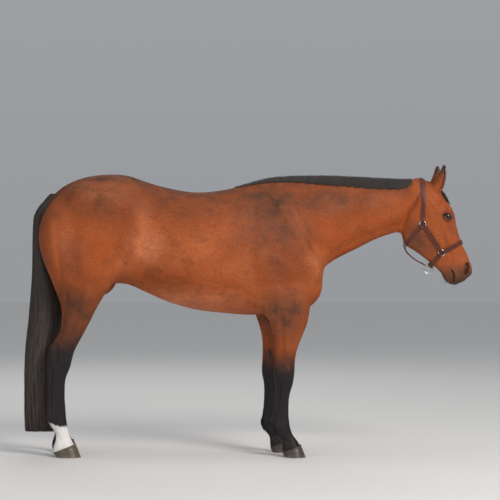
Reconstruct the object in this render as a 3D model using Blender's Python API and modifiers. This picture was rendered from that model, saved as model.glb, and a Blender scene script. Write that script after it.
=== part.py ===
"""A bay horse that stands square in a leather head collar, life size.

Metres. The horse faces +X, its right side is -Y, +Z is up, and the origin is on the floor under its middle.
The flesh is modelled whole, from lofts and muscles fused by a voxel remesh, and is then parted by thin
plane cuts into the parts that a person would name. Hooves, eyes, ears, hair and the head collar are
solids of their own, trimmed to the flesh with a small gap.
"""

import math

import bmesh
import bpy
import numpy as np
from mathutils import Matrix, Vector
from mathutils.bvhtree import BVHTree

# ---------------------------------------------------------------- driving dimensions
WITHERS_HEIGHT = 1.57  # floor to the top of the withers
MODEL_HEIGHT = 1.57  # the height that the stations below are written for
SIZE = WITHERS_HEIGHT / MODEL_HEIGHT
GAP = 0.0004  # left between solids that touch
RING_SIDES = 36  # points round a loft's section
VOXEL = 0.0075  # size of the remesh that fuses the flesh
CREASE_ROUNDS = 60  # of smoothing in the creases between muscles
EVEN_ROUNDS = 6  # of smoothing all over
FLESH_TRIANGLES = 3000  # of the whole flesh, before it is parted
LEFT_FORE_BACK = 0.065  # the left foreleg stands this far behind the right one
LEFT_HIND_BACK = 0.037
LEG_ROUNDNESS = 2.2  # 2 is an ellipse, and more is squarer
HOOF_ROUNDNESS = (2.2, 2.6)  # toe and heel
TAIL_ROUNDNESS = (2.4, 2.0)  # back and front
HEEL_NARROWS = 0.16  # share by which a hoof is narrower at its heel
RAY_START = 0.9  # from a centre line to well outside the flesh

BAY = (0.36, 0.115, 0.035)
BLACK_POINT = (0.022, 0.018, 0.018)
HAIR_BLACK = (0.030, 0.022, 0.020)
HORN = (0.115, 0.085, 0.065)
LEATHER = (0.105, 0.028, 0.016)
STEEL = (0.62, 0.62, 0.60)
EYE_BROWN = (0.012, 0.006, 0.004)


# ---------------------------------------------------------------- stations of the flesh
# Trunk, tail end to breast: x, top, height of the widest line, bottom, half width, roundness above, below.
TRUNK = (
    (-1.140, 1.420, 1.330, 1.240, 0.045, 2.0, 2.0),
    (-1.090, 1.493, 1.340, 1.130, 0.120, 2.0, 2.0),
    (-1.000, 1.553, 1.340, 1.030, 0.190, 2.1, 2.0),
    (-0.900, 1.585, 1.350, 0.985, 0.240, 2.2, 2.0),
    (-0.787, 1.597, 1.370, 0.975, 0.268, 2.3, 2.0),
    (-0.690, 1.592, 1.370, 0.970, 0.272, 2.3, 2.0),
    (-0.580, 1.557, 1.300, 0.925, 0.262, 2.2, 2.0),
    (-0.450, 1.520, 1.220, 0.868, 0.276, 2.2, 2.0),
    (-0.290, 1.495, 1.180, 0.824, 0.298, 2.1, 2.1),
    (-0.120, 1.512, 1.160, 0.803, 0.290, 2.0, 2.1),
    (0.010, 1.545, 1.140, 0.794, 0.266, 1.7, 2.1),
    (0.110, 1.570, 1.120, 0.798, 0.246, 1.6, 2.2),
    (0.210, 1.580, 1.110, 0.815, 0.230, 1.6, 2.3),
    (0.310, 1.560, 1.100, 0.855, 0.208, 1.7, 2.3),
    (0.375, 1.420, 1.090, 0.910, 0.176, 2.0, 2.2),
    (0.415, 1.280, 1.090, 0.980, 0.115, 2.0, 2.0),
    (0.430, 1.150, 1.075, 1.020, 0.045, 2.0, 2.0),
)

# Neck, withers to poll: top x z, bottom x z, half width, where the widest line lies, roundness above, below.
NECK = (
    (0.050, 1.545, 0.280, 0.980, 0.170, 0.50, 1.7, 2.0),
    (0.210, 1.580, 0.405, 1.040, 0.162, 0.50, 1.6, 2.0),
    (0.380, 1.585, 0.500, 1.105, 0.142, 0.54, 1.5, 2.1),
    (0.550, 1.582, 0.625, 1.168, 0.117, 0.56, 1.5, 2.1),
    (0.720, 1.573, 0.760, 1.235, 0.096, 0.56, 1.6, 2.2),
    (0.860, 1.566, 0.875, 1.266, 0.083, 0.52, 1.8, 2.2),
    (0.960, 1.564, 0.950, 1.260, 0.074, 0.50, 2.0, 2.2),
    (1.030, 1.545, 1.020, 1.320, 0.050, 0.50, 2.0, 2.0),
)

# Head, poll to lips, in its own axes: s runs down the face from the poll, f stands out to its front.
# Each station: s, front, then half width and f at brow, cheek, jaw and jaw edge, then the back's f.
POLL = (0.985, 1.585)
FACE_DOWN = (0.370, -0.929)
FACE_LEAN = -21.7  # degrees, of FACE_DOWN from the plumb line
HEAD = (
    (0.000, -0.008, 0.030, -0.018, 0.046, -0.045, 0.044, -0.085, 0.020, -0.108, -0.110),
    (0.055, 0.034, 0.050, 0.022, 0.072, -0.025, 0.064, -0.100, 0.028, -0.138, -0.140),
    (0.120, 0.076, 0.070, 0.054, 0.090, -0.005, 0.076, -0.115, 0.032, -0.166, -0.163),
    (0.200, 0.093, 0.080, 0.074, 0.099, 0.020, 0.086, -0.115, 0.040, -0.192, -0.186),
    (0.265, 0.103, 0.084, 0.084, 0.099, 0.030, 0.088, -0.118, 0.044, -0.217, -0.200),
    (0.330, 0.092, 0.066, 0.076, 0.088, 0.008, 0.084, -0.120, 0.044, -0.224, -0.202),
    (0.385, 0.086, 0.052, 0.072, 0.076, -0.002, 0.070, -0.106, 0.040, -0.188, -0.166),
    (0.450, 0.084, 0.042, 0.070, 0.062, -0.004, 0.053, -0.085, 0.036, -0.146, -0.130),
    (0.510, 0.090, 0.038, 0.077, 0.054, 0.010, 0.045, -0.068, 0.032, -0.113, -0.106),
    (0.560, 0.089, 0.040, 0.073, 0.059, 0.018, 0.046, -0.052, 0.031, -0.087, -0.088),
    (0.598, 0.077, 0.038, 0.060, 0.058, 0.012, 0.046, -0.046, 0.030, -0.086, -0.089),
    (0.628, 0.058, 0.032, 0.043, 0.049, 0.002, 0.041, -0.042, 0.025, -0.070, -0.074),
    (0.650, 0.026, 0.018, 0.019, 0.028, -0.006, 0.024, -0.028, 0.014, -0.044, -0.047),
)

# Masses that stand out of the head's loft, on both sides: centre s, y, f, then radii along f, y and s.
HEAD_MASSES = (
    ("masseter", (0.235, 0.046, -0.108), (0.086, 0.050, 0.118)),
    ("temple", (0.130, 0.056, 0.030), (0.034, 0.032, 0.060)),
    ("zygomatic_arch", (0.195, 0.084, 0.034), (0.020, 0.020, 0.066)),
    ("orbit", (0.262, 0.077, 0.062), (0.036, 0.026, 0.040)),
    ("brow", (0.236, 0.082, 0.078), (0.020, 0.028, 0.026)),
    ("facial_crest", (0.365, 0.064, 0.010), (0.014, 0.020, 0.085)),
    ("nostril_wing", (0.590, 0.035, 0.050), (0.028, 0.027, 0.042)),
    ("upper_lip", (0.610, 0.020, -0.005), (0.038, 0.038, 0.036)),
    ("chin", (0.588, 0.012, -0.065), (0.025, 0.031, 0.033)),
)
EYE = (0.270, 0.081, 0.053)  # centre: s, y, f
EYE_RADIUS = 0.028
NOSTRIL = (0.590, 0.062, 0.050)
NOSTRIL_RADII = (0.016, 0.022, 0.029)

# Legs, top to coronet: z, back x, front x, inner y, outer y, how much wider in front.
FORELEG = (
    (1.080, 0.120, 0.320, 0.080, 0.190, 0.0),
    (0.980, 0.092, 0.350, 0.078, 0.212, 0.0),
    (0.880, 0.092, 0.360, 0.078, 0.214, 0.1),
    (0.800, 0.108, 0.352, 0.078, 0.210, 0.1),
    (0.745, 0.128, 0.340, 0.080, 0.202, 0.1),
    (0.670, 0.147, 0.310, 0.085, 0.190, 0.1),
    (0.591, 0.152, 0.282, 0.090, 0.179, 0.1),
    (0.524, 0.150, 0.272, 0.090, 0.179, 0.1),
    (0.463, 0.148, 0.269, 0.088, 0.181, 0.1),
    (0.410, 0.158, 0.261, 0.092, 0.174, 0.1),
    (0.350, 0.162, 0.243, 0.101, 0.163, 0.2),
    (0.290, 0.158, 0.238, 0.104, 0.160, 0.2),
    (0.225, 0.152, 0.239, 0.103, 0.161, 0.1),
    (0.168, 0.143, 0.246, 0.097, 0.167, 0.0),
    (0.130, 0.158, 0.258, 0.099, 0.165, 0.0),
    (0.090, 0.192, 0.288, 0.099, 0.165, 0.1),
    (0.050, 0.196, 0.306, 0.088, 0.176, 0.1),
    (0.010, 0.200, 0.312, 0.088, 0.176, 0.1),
)
HINDLEG = (
    (1.500, -1.020, -0.740, 0.050, 0.170, 0.0),
    (1.420, -1.120, -0.690, 0.024, 0.222, 0.0),
    (1.320, -1.163, -0.665, 0.014, 0.256, 0.0),
    (1.220, -1.172, -0.668, 0.014, 0.276, 0.0),
    (1.120, -1.150, -0.690, 0.014, 0.280, 0.0),
    (1.030, -1.115, -0.722, 0.018, 0.270, 0.0),
    (0.957, -1.086, -0.772, 0.036, 0.252, 0.1),
    (0.900, -1.064, -0.806, 0.058, 0.236, 0.2),
    (0.840, -1.046, -0.842, 0.076, 0.220, 0.3),
    (0.770, -1.046, -0.876, 0.090, 0.204, 0.3),
    (0.700, -1.060, -0.912, 0.100, 0.190, 0.3),
    (0.645, -1.098, -0.942, 0.099, 0.187, 0.3),
    (0.600, -1.126, -0.966, 0.096, 0.188, 0.3),
    (0.560, -1.129, -0.978, 0.094, 0.188, 0.3),
    (0.503, -1.127, -0.992, 0.098, 0.183, 0.2),
    (0.445, -1.127, -1.016, 0.106, 0.174, 0.2),
    (0.368, -1.125, -1.021, 0.111, 0.168, 0.2),
    (0.278, -1.127, -1.018, 0.110, 0.168, 0.1),
    (0.220, -1.137, -1.013, 0.104, 0.173, 0.0),
    (0.170, -1.100, -1.007, 0.106, 0.171, 0.0),
    (0.130, -1.077, -0.996, 0.107, 0.170, 0.0),
    (0.095, -1.078, -0.984, 0.102, 0.174, 0.1),
    (0.055, -1.092, -0.964, 0.093, 0.183, 0.1),
    (0.010, -1.092, -0.960, 0.093, 0.183, 0.1),
)

# Muscles and bones that stand out of the lofts, on both sides: centre, radii, lean in the side view.
MUSCLES = (
    ("shoulder_blade", (0.260, 0.112, 1.260), (0.120, 0.078, 0.230), -34),
    ("triceps", (0.190, 0.150, 1.050), (0.140, 0.075, 0.160), -25),
    ("shoulder_point", (0.350, 0.112, 1.070), (0.086, 0.088, 0.135), 0),
    ("breast", (0.340, 0.072, 0.955), (0.082, 0.088, 0.125), 15),
    ("elbow", (0.124, 0.148, 0.845), (0.045, 0.045, 0.065), 0),
    ("hip_point", (-0.670, 0.172, 1.420), (0.105, 0.088, 0.085), 0),
    ("gluteal", (-0.840, 0.132, 1.400), (0.220, 0.120, 0.140), 10),
    ("stifle", (-0.822, 0.162, 1.015), (0.080, 0.075, 0.120), 20),
    ("poll", (1.016, 0.020, 1.530), (0.036, 0.034, 0.035), 0),
)
"""The lean turns an ellipsoid about Y, so that its top goes back (negative) or forward."""

# Planes that part the flesh: a point, and the normal towards the first of the two parts.
HEAD_PLANE = ((0.918, 0.0, 1.420), (0.974, 0.0, -0.226))
NECK_PLANE = ((0.170, 0.0, 1.580), (0.846, 0.0, 0.533))
FORE_PLANE = ((0.020, 0.0, 1.200), (1.0, 0.0, 0.0))
HIND_PLANE = ((-0.560, 0.0, 1.560), (-0.974, 0.0, 0.224))
FORELEG_LEVELS = (0.775, 0.505)  # elbow, above the knee
HINDLEG_LEVELS = (0.905, 0.640)  # stifle, above the hock

# Hooves: front of the coronet x z, its heel x z, then the ground's front x, heel x, middle y, half widths.
FORE_HOOF = (0.305, 0.0715, 0.198, 0.029, 0.3325, 0.210, 0.132, 0.046, 0.0625)
HIND_HOOF = (-0.965, 0.0766, -1.090, 0.0265, -0.932, -1.073, 0.138, 0.046, 0.058)

# Tail, dock to cut end: z, back x, front x, half thickness.
TAIL = (
    (1.500, -1.118, -1.036, 0.024),
    (1.470, -1.152, -1.054, 0.034),
    (1.440, -1.178, -1.072, 0.041),
    (1.387, -1.208, -1.100, 0.047),
    (1.298, -1.219, -1.135, 0.050),
    (1.200, -1.221, -1.150, 0.052),
    (1.100, -1.222, -1.130, 0.054),
    (0.966, -1.228, -1.080, 0.058),
    (0.884, -1.235, -1.052, 0.060),
    (0.786, -1.244, -1.046, 0.062),
    (0.606, -1.263, -1.080, 0.064),
    (0.370, -1.270, -1.092, 0.060),
    (0.220, -1.269, -1.088, 0.054),
    (0.130, -1.266, -1.082, 0.048),
)

MANE_TURNS = (-16.0, 110.0, 3.0)  # degrees from the crest: first, last and step of the skin under the mane
CREST_RADIUS = 0.07  # from the crest to the line that those turns go round
HAIR_LIFT = 0.002  # between the flesh and the hair that lies on it
# Mane, on the right: x of the station, thickness at the crest, length down the neck.
MANE = (
    (-0.070, 0.003, 0.030),
    (0.020, 0.006, 0.046),
    (0.120, 0.008, 0.056),
    (0.320, 0.009, 0.068),
    (0.450, 0.010, 0.084),
    (0.600, 0.010, 0.086),
    (0.750, 0.010, 0.090),
    (0.860, 0.009, 0.086),
    (0.920, 0.007, 0.080),
    (0.935, 0.005, 0.076),
)
# Forelock, down the forehead and over to its right side: s, middle y, half width, thickness.
FORELOCK = (
    (0.078, 0.000, 0.013, 0.008),
    (0.100, 0.001, 0.019, 0.012),
    (0.128, -0.007, 0.026, 0.013),
    (0.148, -0.020, 0.031, 0.013),
    (0.182, -0.032, 0.028, 0.010),
    (0.214, -0.043, 0.011, 0.005),
)

# Ears, base to tip: share of the length, half width across the opening, depth, wall.
EAR = (
    (0.00, 0.026, 0.040, 0.012),
    (0.18, 0.030, 0.043, 0.009),
    (0.38, 0.031, 0.041, 0.007),
    (0.58, 0.027, 0.032, 0.006),
    (0.75, 0.019, 0.022, 0.005),
    (0.89, 0.010, 0.012, 0.004),
    (0.97, 0.004, 0.005, 0.002),
)
EAR_BASE = (1.056, 0.053, 1.474)
EAR_TIP = (1.117, 0.058, 1.648)
EAR_BULGE = 0.018  # how far its middle stands forward of the line from base to tip
EAR_ROLL = 118  # degrees that the shell is rolled each way from its back
EAR_OPENS = (0.93, 0.28, -0.22)  # where its opening faces
LEFT_EAR_TURNED = (-0.027, 0.004, 0.000)  # how far back the left ear's tip is turned

# Head collar, in the side view: x z.
CHEEK_FITTING = (0.9935, 1.312)
NOSE_RING = (1.104, 1.150)
POLL_STRAP = (0.9985, 1.560)
JAW_CORNER = (0.9005, 1.196)
NOSE_BRIDGE = (1.232, 1.216)
CHIN_STRAP = (1.046, 1.075)
LEAD_RING_RADIUS = 0.026
LEAD_RING_TUBE = 0.004
CHIN_SAG = 0.018  # how far the chin strap hangs under the jaw, for the lead ring
STRAP_WIDTH = 0.025
STRAP_THICK = 0.0035
STRAP_LIFT = 0.0024
CHEEK_START = 11.5  # degrees round the head where the straps at the cheek fitting begin
NOSE_START = 16.5  # the same at the nose fitting
CHEEKPIECE_TRIM = 0.019  # the cheekpieces stop this far from the fittings' middles
PLATE_RADIUS = 0.021
PLATE_THICK = 0.004
PLATE_LIFT = 0.0066  # a fitting's plate lies this far off the skin, on the straps
JAW_STRAP = (0.014, 0.008)  # width and thickness
JAW_STRAP_PATH = ((0.898, 1.181), (0.909, 1.157), (0.932, 1.132), (0.966, 1.106), (1.010, 1.083))


# ---------------------------------------------------------------- tools
def clear_scene():
    for obj in list(bpy.data.objects):
        bpy.data.objects.remove(obj)


def collection(name, rendered=True):
    made = bpy.data.collections.new(name)
    made.hide_render = not rendered
    bpy.context.scene.collection.children.link(made)
    return made


def material(name, colour, roughness, metallic=0.0):
    made = bpy.data.materials.get(name) or bpy.data.materials.new(name)
    made.use_nodes = True
    shader = made.node_tree.nodes["Principled BSDF"]
    shader.inputs["Base Color"].default_value = (*colour, 1.0)
    shader.inputs["Roughness"].default_value = roughness
    shader.inputs["Metallic"].default_value = metallic
    made.diffuse_color = (*colour, 1.0)
    return made


def fill_in(rows, count):
    """The rows with more between them, each column a smooth curve over the distance between rows."""
    rows = np.array(rows, float)
    steps = np.maximum(np.linalg.norm(np.diff(rows[:, :3], axis=0), axis=1), 1e-6)
    at = np.concatenate([[0.0], np.cumsum(steps)])
    slope = np.diff(rows, axis=0) / steps[:, None]
    tangent = np.empty_like(rows)
    tangent[0], tangent[-1] = slope[0], slope[-1]
    before, after = steps[:-1, None], steps[1:, None]
    tangent[1:-1] = (slope[:-1] * after + slope[1:] * before) / (before + after)
    t = np.linspace(0.0, at[-1], count)
    i = np.clip(np.searchsorted(at, t, "right") - 1, 0, len(steps) - 1)
    h = steps[i][:, None]
    u = (t - at[i])[:, None] / h
    return (
        rows[i] * (1 + 2 * u) * (1 - u) ** 2
        + rows[i + 1] * u**2 * (3 - 2 * u)
        + tangent[i] * h * u * (1 - u) ** 2
        - tangent[i + 1] * h * u**2 * (1 - u)
    )


def oval(sides, power_up=2.0, power_down=2.0):
    """(across, up) on a closed curve round the origin, 1 out each way, its top and bottom unlike."""
    turn = np.arange(sides) * 2 * math.pi / sides
    c, s = np.cos(turn), np.sin(turn)
    power = np.where(c > 0, power_up, power_down)
    return (
        np.sign(s) * np.abs(s) ** (2 / power),
        np.sign(c) * np.abs(c) ** (2 / power),
    )


def closed_curve(points, count):
    """`count` points evenly spaced on a smooth closed curve through `points`."""
    wrapped = np.concatenate([points[-3:], points, points[:3]])
    dense = fill_in(wrapped, 40 * len(wrapped))
    steps = np.linalg.norm(np.diff(dense, axis=0), axis=1)
    along = np.concatenate([[0.0], np.cumsum(steps)])
    knots = np.linalg.norm(np.diff(wrapped, axis=0), axis=1)
    # The curve starts and ends at points[0], reached after three of the wrapped points' steps.
    first = np.interp(knots[:3].sum() / knots.sum(), np.linspace(0, 1, len(along)), along)
    last = np.interp(1 - knots[-2:].sum() / knots.sum(), np.linspace(0, 1, len(along)), along)
    at = np.linspace(first, last, count + 1)[:-1]
    return np.stack([np.interp(at, along, dense[:, k]) for k in range(dense.shape[1])], axis=1)


def mesh_object(name, mesh, home):
    obj = bpy.data.objects.new(name, mesh)
    home.objects.link(obj)
    return obj


def loft(name, rings, home):
    """A closed mesh through rings of points, with a flat cap at each end."""
    bm = bmesh.new()
    loops = [[bm.verts.new(p) for p in ring] for ring in rings]
    for low, high in zip(loops, loops[1:]):
        for k in range(len(low)):
            j = (k + 1) % len(low)
            bm.faces.new((low[k], low[j], high[j], high[k]))
    caps = [bm.faces.new(loops[0]), bm.faces.new(loops[-1])]
    bmesh.ops.triangulate(bm, faces=caps)
    bmesh.ops.recalc_face_normals(bm, faces=bm.faces)
    mesh = bpy.data.meshes.new(name)
    bm.to_mesh(mesh)
    bm.free()
    if mesh_volume(mesh) < 0:
        mesh.flip_normals()
    return mesh_object(name, mesh, home)


def mesh_volume(mesh):
    bm = bmesh.new()
    bm.from_mesh(mesh)
    volume = bm.calc_volume(signed=True)
    bm.free()
    return volume


def ellipsoid(name, centre, radii, lean, home, sides=24):
    bm = bmesh.new()
    place = Matrix.Translation(centre) @ Matrix.Rotation(math.radians(lean), 4, "Y")
    size = Matrix.Diagonal((*radii, 1.0))
    bmesh.ops.create_uvsphere(bm, u_segments=sides, v_segments=sides // 2, radius=1.0, matrix=place @ size)
    mesh = bpy.data.meshes.new(name)
    bm.to_mesh(mesh)
    bm.free()
    return mesh_object(name, mesh, home)


def modify(obj, kind, **settings):
    modifier = obj.modifiers.new(kind.title(), kind)
    for key, value in settings.items():
        setattr(modifier, key, value)
    return modifier


def freeze(obj):
    """Makes the object's modified mesh its own."""
    bpy.context.view_layer.update()
    graph = bpy.context.evaluated_depsgraph_get()
    mesh = bpy.data.meshes.new_from_object(obj.evaluated_get(graph))
    obj.modifiers.clear()
    obj.data = mesh
    return obj


def joined(name, objects, home):
    """One object with the meshes of all, which it replaces."""
    bm = bmesh.new()
    for obj in objects:
        bm.from_mesh(obj.data)
        bpy.data.objects.remove(obj)
    mesh = bpy.data.meshes.new(name)
    bm.to_mesh(mesh)
    bm.free()
    return mesh_object(name, mesh, home)


def sized(rings):
    return np.array(rings) * SIZE


# ---------------------------------------------------------------- the lofts
def trunk_rings():
    rings = []
    for x, top, wide, bottom, half, power_up, power_down in fill_in(TRUNK, 70):
        across, up = oval(RING_SIDES, power_up, power_down)
        z = wide + np.where(up > 0, (top - wide) * up, (wide - bottom) * up)
        rings.append(np.stack([np.full_like(z, x), half * across, z], axis=1))
    return sized(rings)


def neck_rings():
    rings = []
    for row in fill_in(NECK, 50):
        top, bottom = row[:2], row[2:4]
        half, level, power_up, power_down = row[4:]
        across, up = oval(RING_SIDES, power_up, power_down)
        share = level + np.where(up > 0, (1 - level) * up, level * up)
        place = bottom + share[:, None] * (top - bottom)
        rings.append(np.stack([place[:, 0], half * across, place[:, 1]], axis=1))
    return sized(rings)


def head_point(s, f, y=0.0):
    """A point of the head from its own axes."""
    down = np.array(FACE_DOWN)
    front = np.array((-FACE_DOWN[1], FACE_DOWN[0]))
    place = np.array(POLL) + np.multiply.outer(s, down) + np.multiply.outer(f, front)
    return np.stack([place[..., 0], np.broadcast_to(y, place[..., 0].shape), place[..., 1]], axis=-1)


def head_rings():
    rings = []
    for s, front, *half, back in fill_in(HEAD, 60):
        corners = list(zip(half[0::2], half[1::2]))
        right = [(0.0, front), *corners, (0.0, back)]
        left = [(-w, f) for w, f in reversed(corners)]
        curve = closed_curve(np.array(right + left), RING_SIDES)
        rings.append(head_point(s, curve[:, 1], curve[:, 0]))
    return sized(rings)


def leg_rings(rows, side, back=0.0):
    """A leg's loft. side is -1 for the right leg, and back moves the whole leg towards the tail."""
    rings = []
    for z, x_back, x_front, y_in, y_out, taper in fill_in(rows, 90):
        across, along = oval(RING_SIDES, LEG_ROUNDNESS, LEG_ROUNDNESS)
        x = (x_front + x_back) / 2 - back + along * (x_front - x_back) / 2
        half = (y_out - y_in) / 2 * (1 + taper * along)
        y = side * ((y_in + y_out) / 2 + across * half)
        rings.append(np.stack([x, y, np.full_like(x, z)], axis=1))
    return sized(rings)


# ---------------------------------------------------------------- the whole flesh
def relax(obj, rounds, convex=0.06, factor=0.5):
    """Rounds the creases where fused masses meet, as skin does, and leaves ridges nearly as they are."""
    mesh = obj.data
    count = len(mesh.vertices)
    place = np.empty(count * 3)
    mesh.vertices.foreach_get("co", place)
    place = place.reshape(-1, 3)
    ends = np.empty(len(mesh.edges) * 2, np.int64)
    mesh.edges.foreach_get("vertices", ends)
    ends = ends.reshape(-1, 2)
    there, here = np.concatenate([ends[:, 0], ends[:, 1]]), np.concatenate([ends[:, 1], ends[:, 0]])
    share = 1.0 / np.bincount(here, minlength=count)
    normal = np.empty(count * 3)
    for _ in range(rounds):
        mesh.vertices.foreach_set("co", place.ravel())
        mesh.update()
        mesh.vertex_normals.foreach_get("vector", normal)
        pull = np.stack([np.bincount(here, place[there, k], count) for k in range(3)], axis=1)
        pull = pull * share[:, None] - place
        outward = (pull * normal.reshape(-1, 3)).sum(axis=1)
        place += pull * np.where(outward > 0, factor, factor * convex)[:, None]
    mesh.vertices.foreach_set("co", place.ravel())
    mesh.update()
    return obj


def whole_flesh(home):
    masses = [
        loft("trunk_loft", trunk_rings(), home),
        loft("neck_loft", neck_rings(), home),
        loft("head_loft", head_rings(), home),
    ]
    for side in (-1, 1):
        masses.append(loft("foreleg_loft", leg_rings(FORELEG, side, LEFT_FORE_BACK * (side > 0)), home))
        masses.append(loft("hindleg_loft", leg_rings(HINDLEG, side, LEFT_HIND_BACK * (side > 0)), home))
        for name, (x, y, z), radii, lean in MUSCLES:
            place = np.array((x, side * y, z)) * SIZE
            masses.append(ellipsoid(name, place, np.array(radii) * SIZE, lean, home))
        for name, (s, y, f), radii in HEAD_MASSES:
            place = head_point(s, f, side * y) * SIZE
            masses.append(ellipsoid(name, place, np.array(radii) * SIZE, FACE_LEAN, home))
    flesh = joined("flesh", masses, home)
    modify(flesh, "REMESH", mode="VOXEL", voxel_size=VOXEL, use_smooth_shade=True)
    return relax(relax(freeze(flesh), CREASE_ROUNDS), EVEN_ROUNDS, convex=1.0)


def thinned(obj, triangles):
    """The object with about this many triangles, most where it curves."""
    obj.data.calc_loop_triangles()
    modify(obj, "DECIMATE", ratio=triangles / len(obj.data.loop_triangles), use_collapse_triangulate=True)
    return freeze(obj)


# ---------------------------------------------------------------- parting and trimming
def opposite(plane):
    point, normal = plane
    return point, tuple(-n for n in normal)


def level_plane(z, up):
    return (0.0, 0.0, z), (0.0, 0.0, 1.0 if up else -1.0)


def part_of(source, name, planes, side, home):
    """The source on the positive side of every plane, and on one side of the middle if `side` is set."""
    bm = bmesh.new()
    bm.from_mesh(source.data)
    for point, normal in planes:
        normal = Vector(normal).normalized()
        place = Vector(point) * SIZE + normal * GAP / 2
        geometry = bm.verts[:] + bm.edges[:] + bm.faces[:]
        bmesh.ops.bisect_plane(bm, geom=geometry, plane_co=place, plane_no=normal, clear_inner=True)
        rim = [edge for edge in bm.edges if edge.is_boundary]
        bmesh.ops.holes_fill(bm, edges=rim, sides=0)
    if side:
        bmesh.ops.delete(bm, geom=[v for v in bm.verts if v.co.y * side < 0], context="VERTS")
    bmesh.ops.triangulate(bm, faces=bm.faces)
    mesh = bpy.data.meshes.new(name)
    bm.to_mesh(mesh)
    bm.free()
    return mesh_object(name, mesh, home)


def cut(obj, *cutters):
    """The object less what each cutter holds. Of the bodies this leaves, the longest stays."""
    for cutter in cutters:
        modify(obj, "BOOLEAN", operation="DIFFERENCE", solver="EXACT", object=cutter)
    freeze(obj)
    bm = bmesh.new()
    bm.from_mesh(obj.data)
    bmesh.ops.remove_doubles(bm, verts=bm.verts, dist=1e-6)
    bodies = bodies_of(bm)
    longest = max(bodies, key=extent)
    bmesh.ops.delete(bm, geom=[v for v in bm.verts if v not in longest], context="VERTS")
    bm.to_mesh(obj.data)
    bm.free()
    return obj


def bodies_of(bm):
    left, bodies = set(bm.verts), []
    while left:
        body, front = set(), [left.pop()]
        while front:
            vert = front.pop()
            body.add(vert)
            near = {edge.other_vert(vert) for edge in vert.link_edges} & left
            left -= near
            front += near
        bodies.append(body)
    return bodies


def extent(verts):
    places = np.array([v.co for v in verts])
    return float(np.linalg.norm(np.ptp(places, axis=0)))


def guide(obj):
    obj.hide_render = True
    obj.display_type = "WIRE"
    return obj


def clearance_of(source, home):
    """The source pushed out by the gap, to trim neighbours with."""
    shell = guide(mesh_object("clearance", source.data.copy(), home))
    modify(shell, "DISPLACE", strength=GAP, mid_level=0.0)
    return freeze(shell)


# ---------------------------------------------------------------- the parts of the flesh
SIDES = ((-1, "right"), (1, "left"))


def part_flesh(flesh, home):
    """Every named part of the flesh, by name."""
    above_fore = level_plane(FORELEG_LEVELS[0], True)
    above_hind = level_plane(HINDLEG_LEVELS[0], True)
    plans = {
        "head": (0, [HEAD_PLANE]),
        "neck": (0, [opposite(HEAD_PLANE), NECK_PLANE]),
        "forequarters": (0, [opposite(NECK_PLANE), FORE_PLANE, above_fore]),
        "barrel": (0, [opposite(FORE_PLANE), opposite(HIND_PLANE)]),
        "hindquarters": (0, [HIND_PLANE, above_hind]),
    }
    for side, word in SIDES:
        for label, levels, end, limb in (
            ("fore", FORELEG_LEVELS, FORE_PLANE, "arm"),
            ("hind", HINDLEG_LEVELS, HIND_PLANE, "gaskin"),
        ):
            top, middle = levels
            foot = coronet_plane(hoof_of(end), back_of(side, end))
            upper = [end, level_plane(top, False), level_plane(middle, True)]
            plans[f"{label}_{limb}_{word}"] = (side, upper)
            plans[f"{label}_cannon_{word}"] = (side, [end, level_plane(middle, False), foot])
    return {name: part_of(flesh, name, planes, side, home) for name, (side, planes) in plans.items()}


def hoof_of(end):
    return FORE_HOOF if end is FORE_PLANE else HIND_HOOF


def back_of(side, end):
    """How far this leg stands behind the right one."""
    if side < 0:
        return 0.0
    return LEFT_FORE_BACK if end is FORE_PLANE else LEFT_HIND_BACK


def coronet_plane(hoof, back):
    x_front, z_front, x_heel, z_heel = hoof[:4]
    return (x_front - back, 0.0, z_front), (z_heel - z_front, 0.0, x_front - x_heel)


def hoof_solid(name, hoof, side, back, home):
    """A hoof wall from the coronet down to its flat sole."""
    x_front, z_front, x_heel, z_heel, ground_front, ground_heel, y, top_half, ground_half = hoof
    across, along = oval(20, *HOOF_ROUNDNESS)
    rings = []
    for t in np.linspace(0.0, 1.0, 4):
        front, heel = x_front + (ground_front - x_front) * t, x_heel + (ground_heel - x_heel) * t
        half = top_half + (ground_half - top_half) * t**0.8
        x = (front + heel) / 2 + along * (front - heel) / 2
        narrow = 1 - HEEL_NARROWS * np.clip(-along, 0, 1) ** 2
        top = z_heel + (x - heel) * (z_front - z_heel) / (front - heel)
        z = (top - GAP / 2) * (1 - t)
        rings.append(np.stack([x - back, side * y + across * half * narrow, z], axis=1))
    return loft(name, sized(rings), home)


# ---------------------------------------------------------------- eyes and ears
def sphere(name, centre, radii, lean, home, sides=16):
    return ellipsoid(name, np.array(centre) * SIZE, np.array(radii) * SIZE, lean, home, sides)


def ear_rings(side):
    """A shell rolled round the ear's axis, open to the front and thin at its rim."""
    turned = LEFT_EAR_TURNED if side > 0 else (0.0, 0.0, 0.0)
    mirror = np.array((1.0, side, 1.0))
    base, tip = np.array(EAR_BASE) * mirror, (np.array(EAR_TIP) + turned) * mirror
    axis = (tip - base) / np.linalg.norm(tip - base)
    opens = np.array(EAR_OPENS) * mirror
    opens -= axis * (opens @ axis)
    opens /= np.linalg.norm(opens)
    across = np.cross(axis, opens)
    rings = []
    for share, half, depth, wall in fill_in(EAR, 10):
        turn = np.radians(np.linspace(-EAR_ROLL, EAR_ROLL, 9))
        out = np.stack([np.sin(turn) * half, -np.cos(turn) * depth], axis=1)
        inner = out[::-1] * (1 - wall / np.array((half, depth)))
        inner[:, 1] += 0.2 * wall
        curl = np.concatenate([out, inner])
        centre = base + (tip - base) * share + opens * EAR_BULGE * math.sin(math.pi * share)
        rings.append(centre + curl[:, :1] * across + curl[:, 1:] * opens)
    return sized(rings)


# ---------------------------------------------------------------- hair
def surface_tree(obj):
    bm = bmesh.new()
    bm.from_mesh(obj.data)
    tree = BVHTree.FromBMesh(bm)
    bm.free()
    return tree


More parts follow.
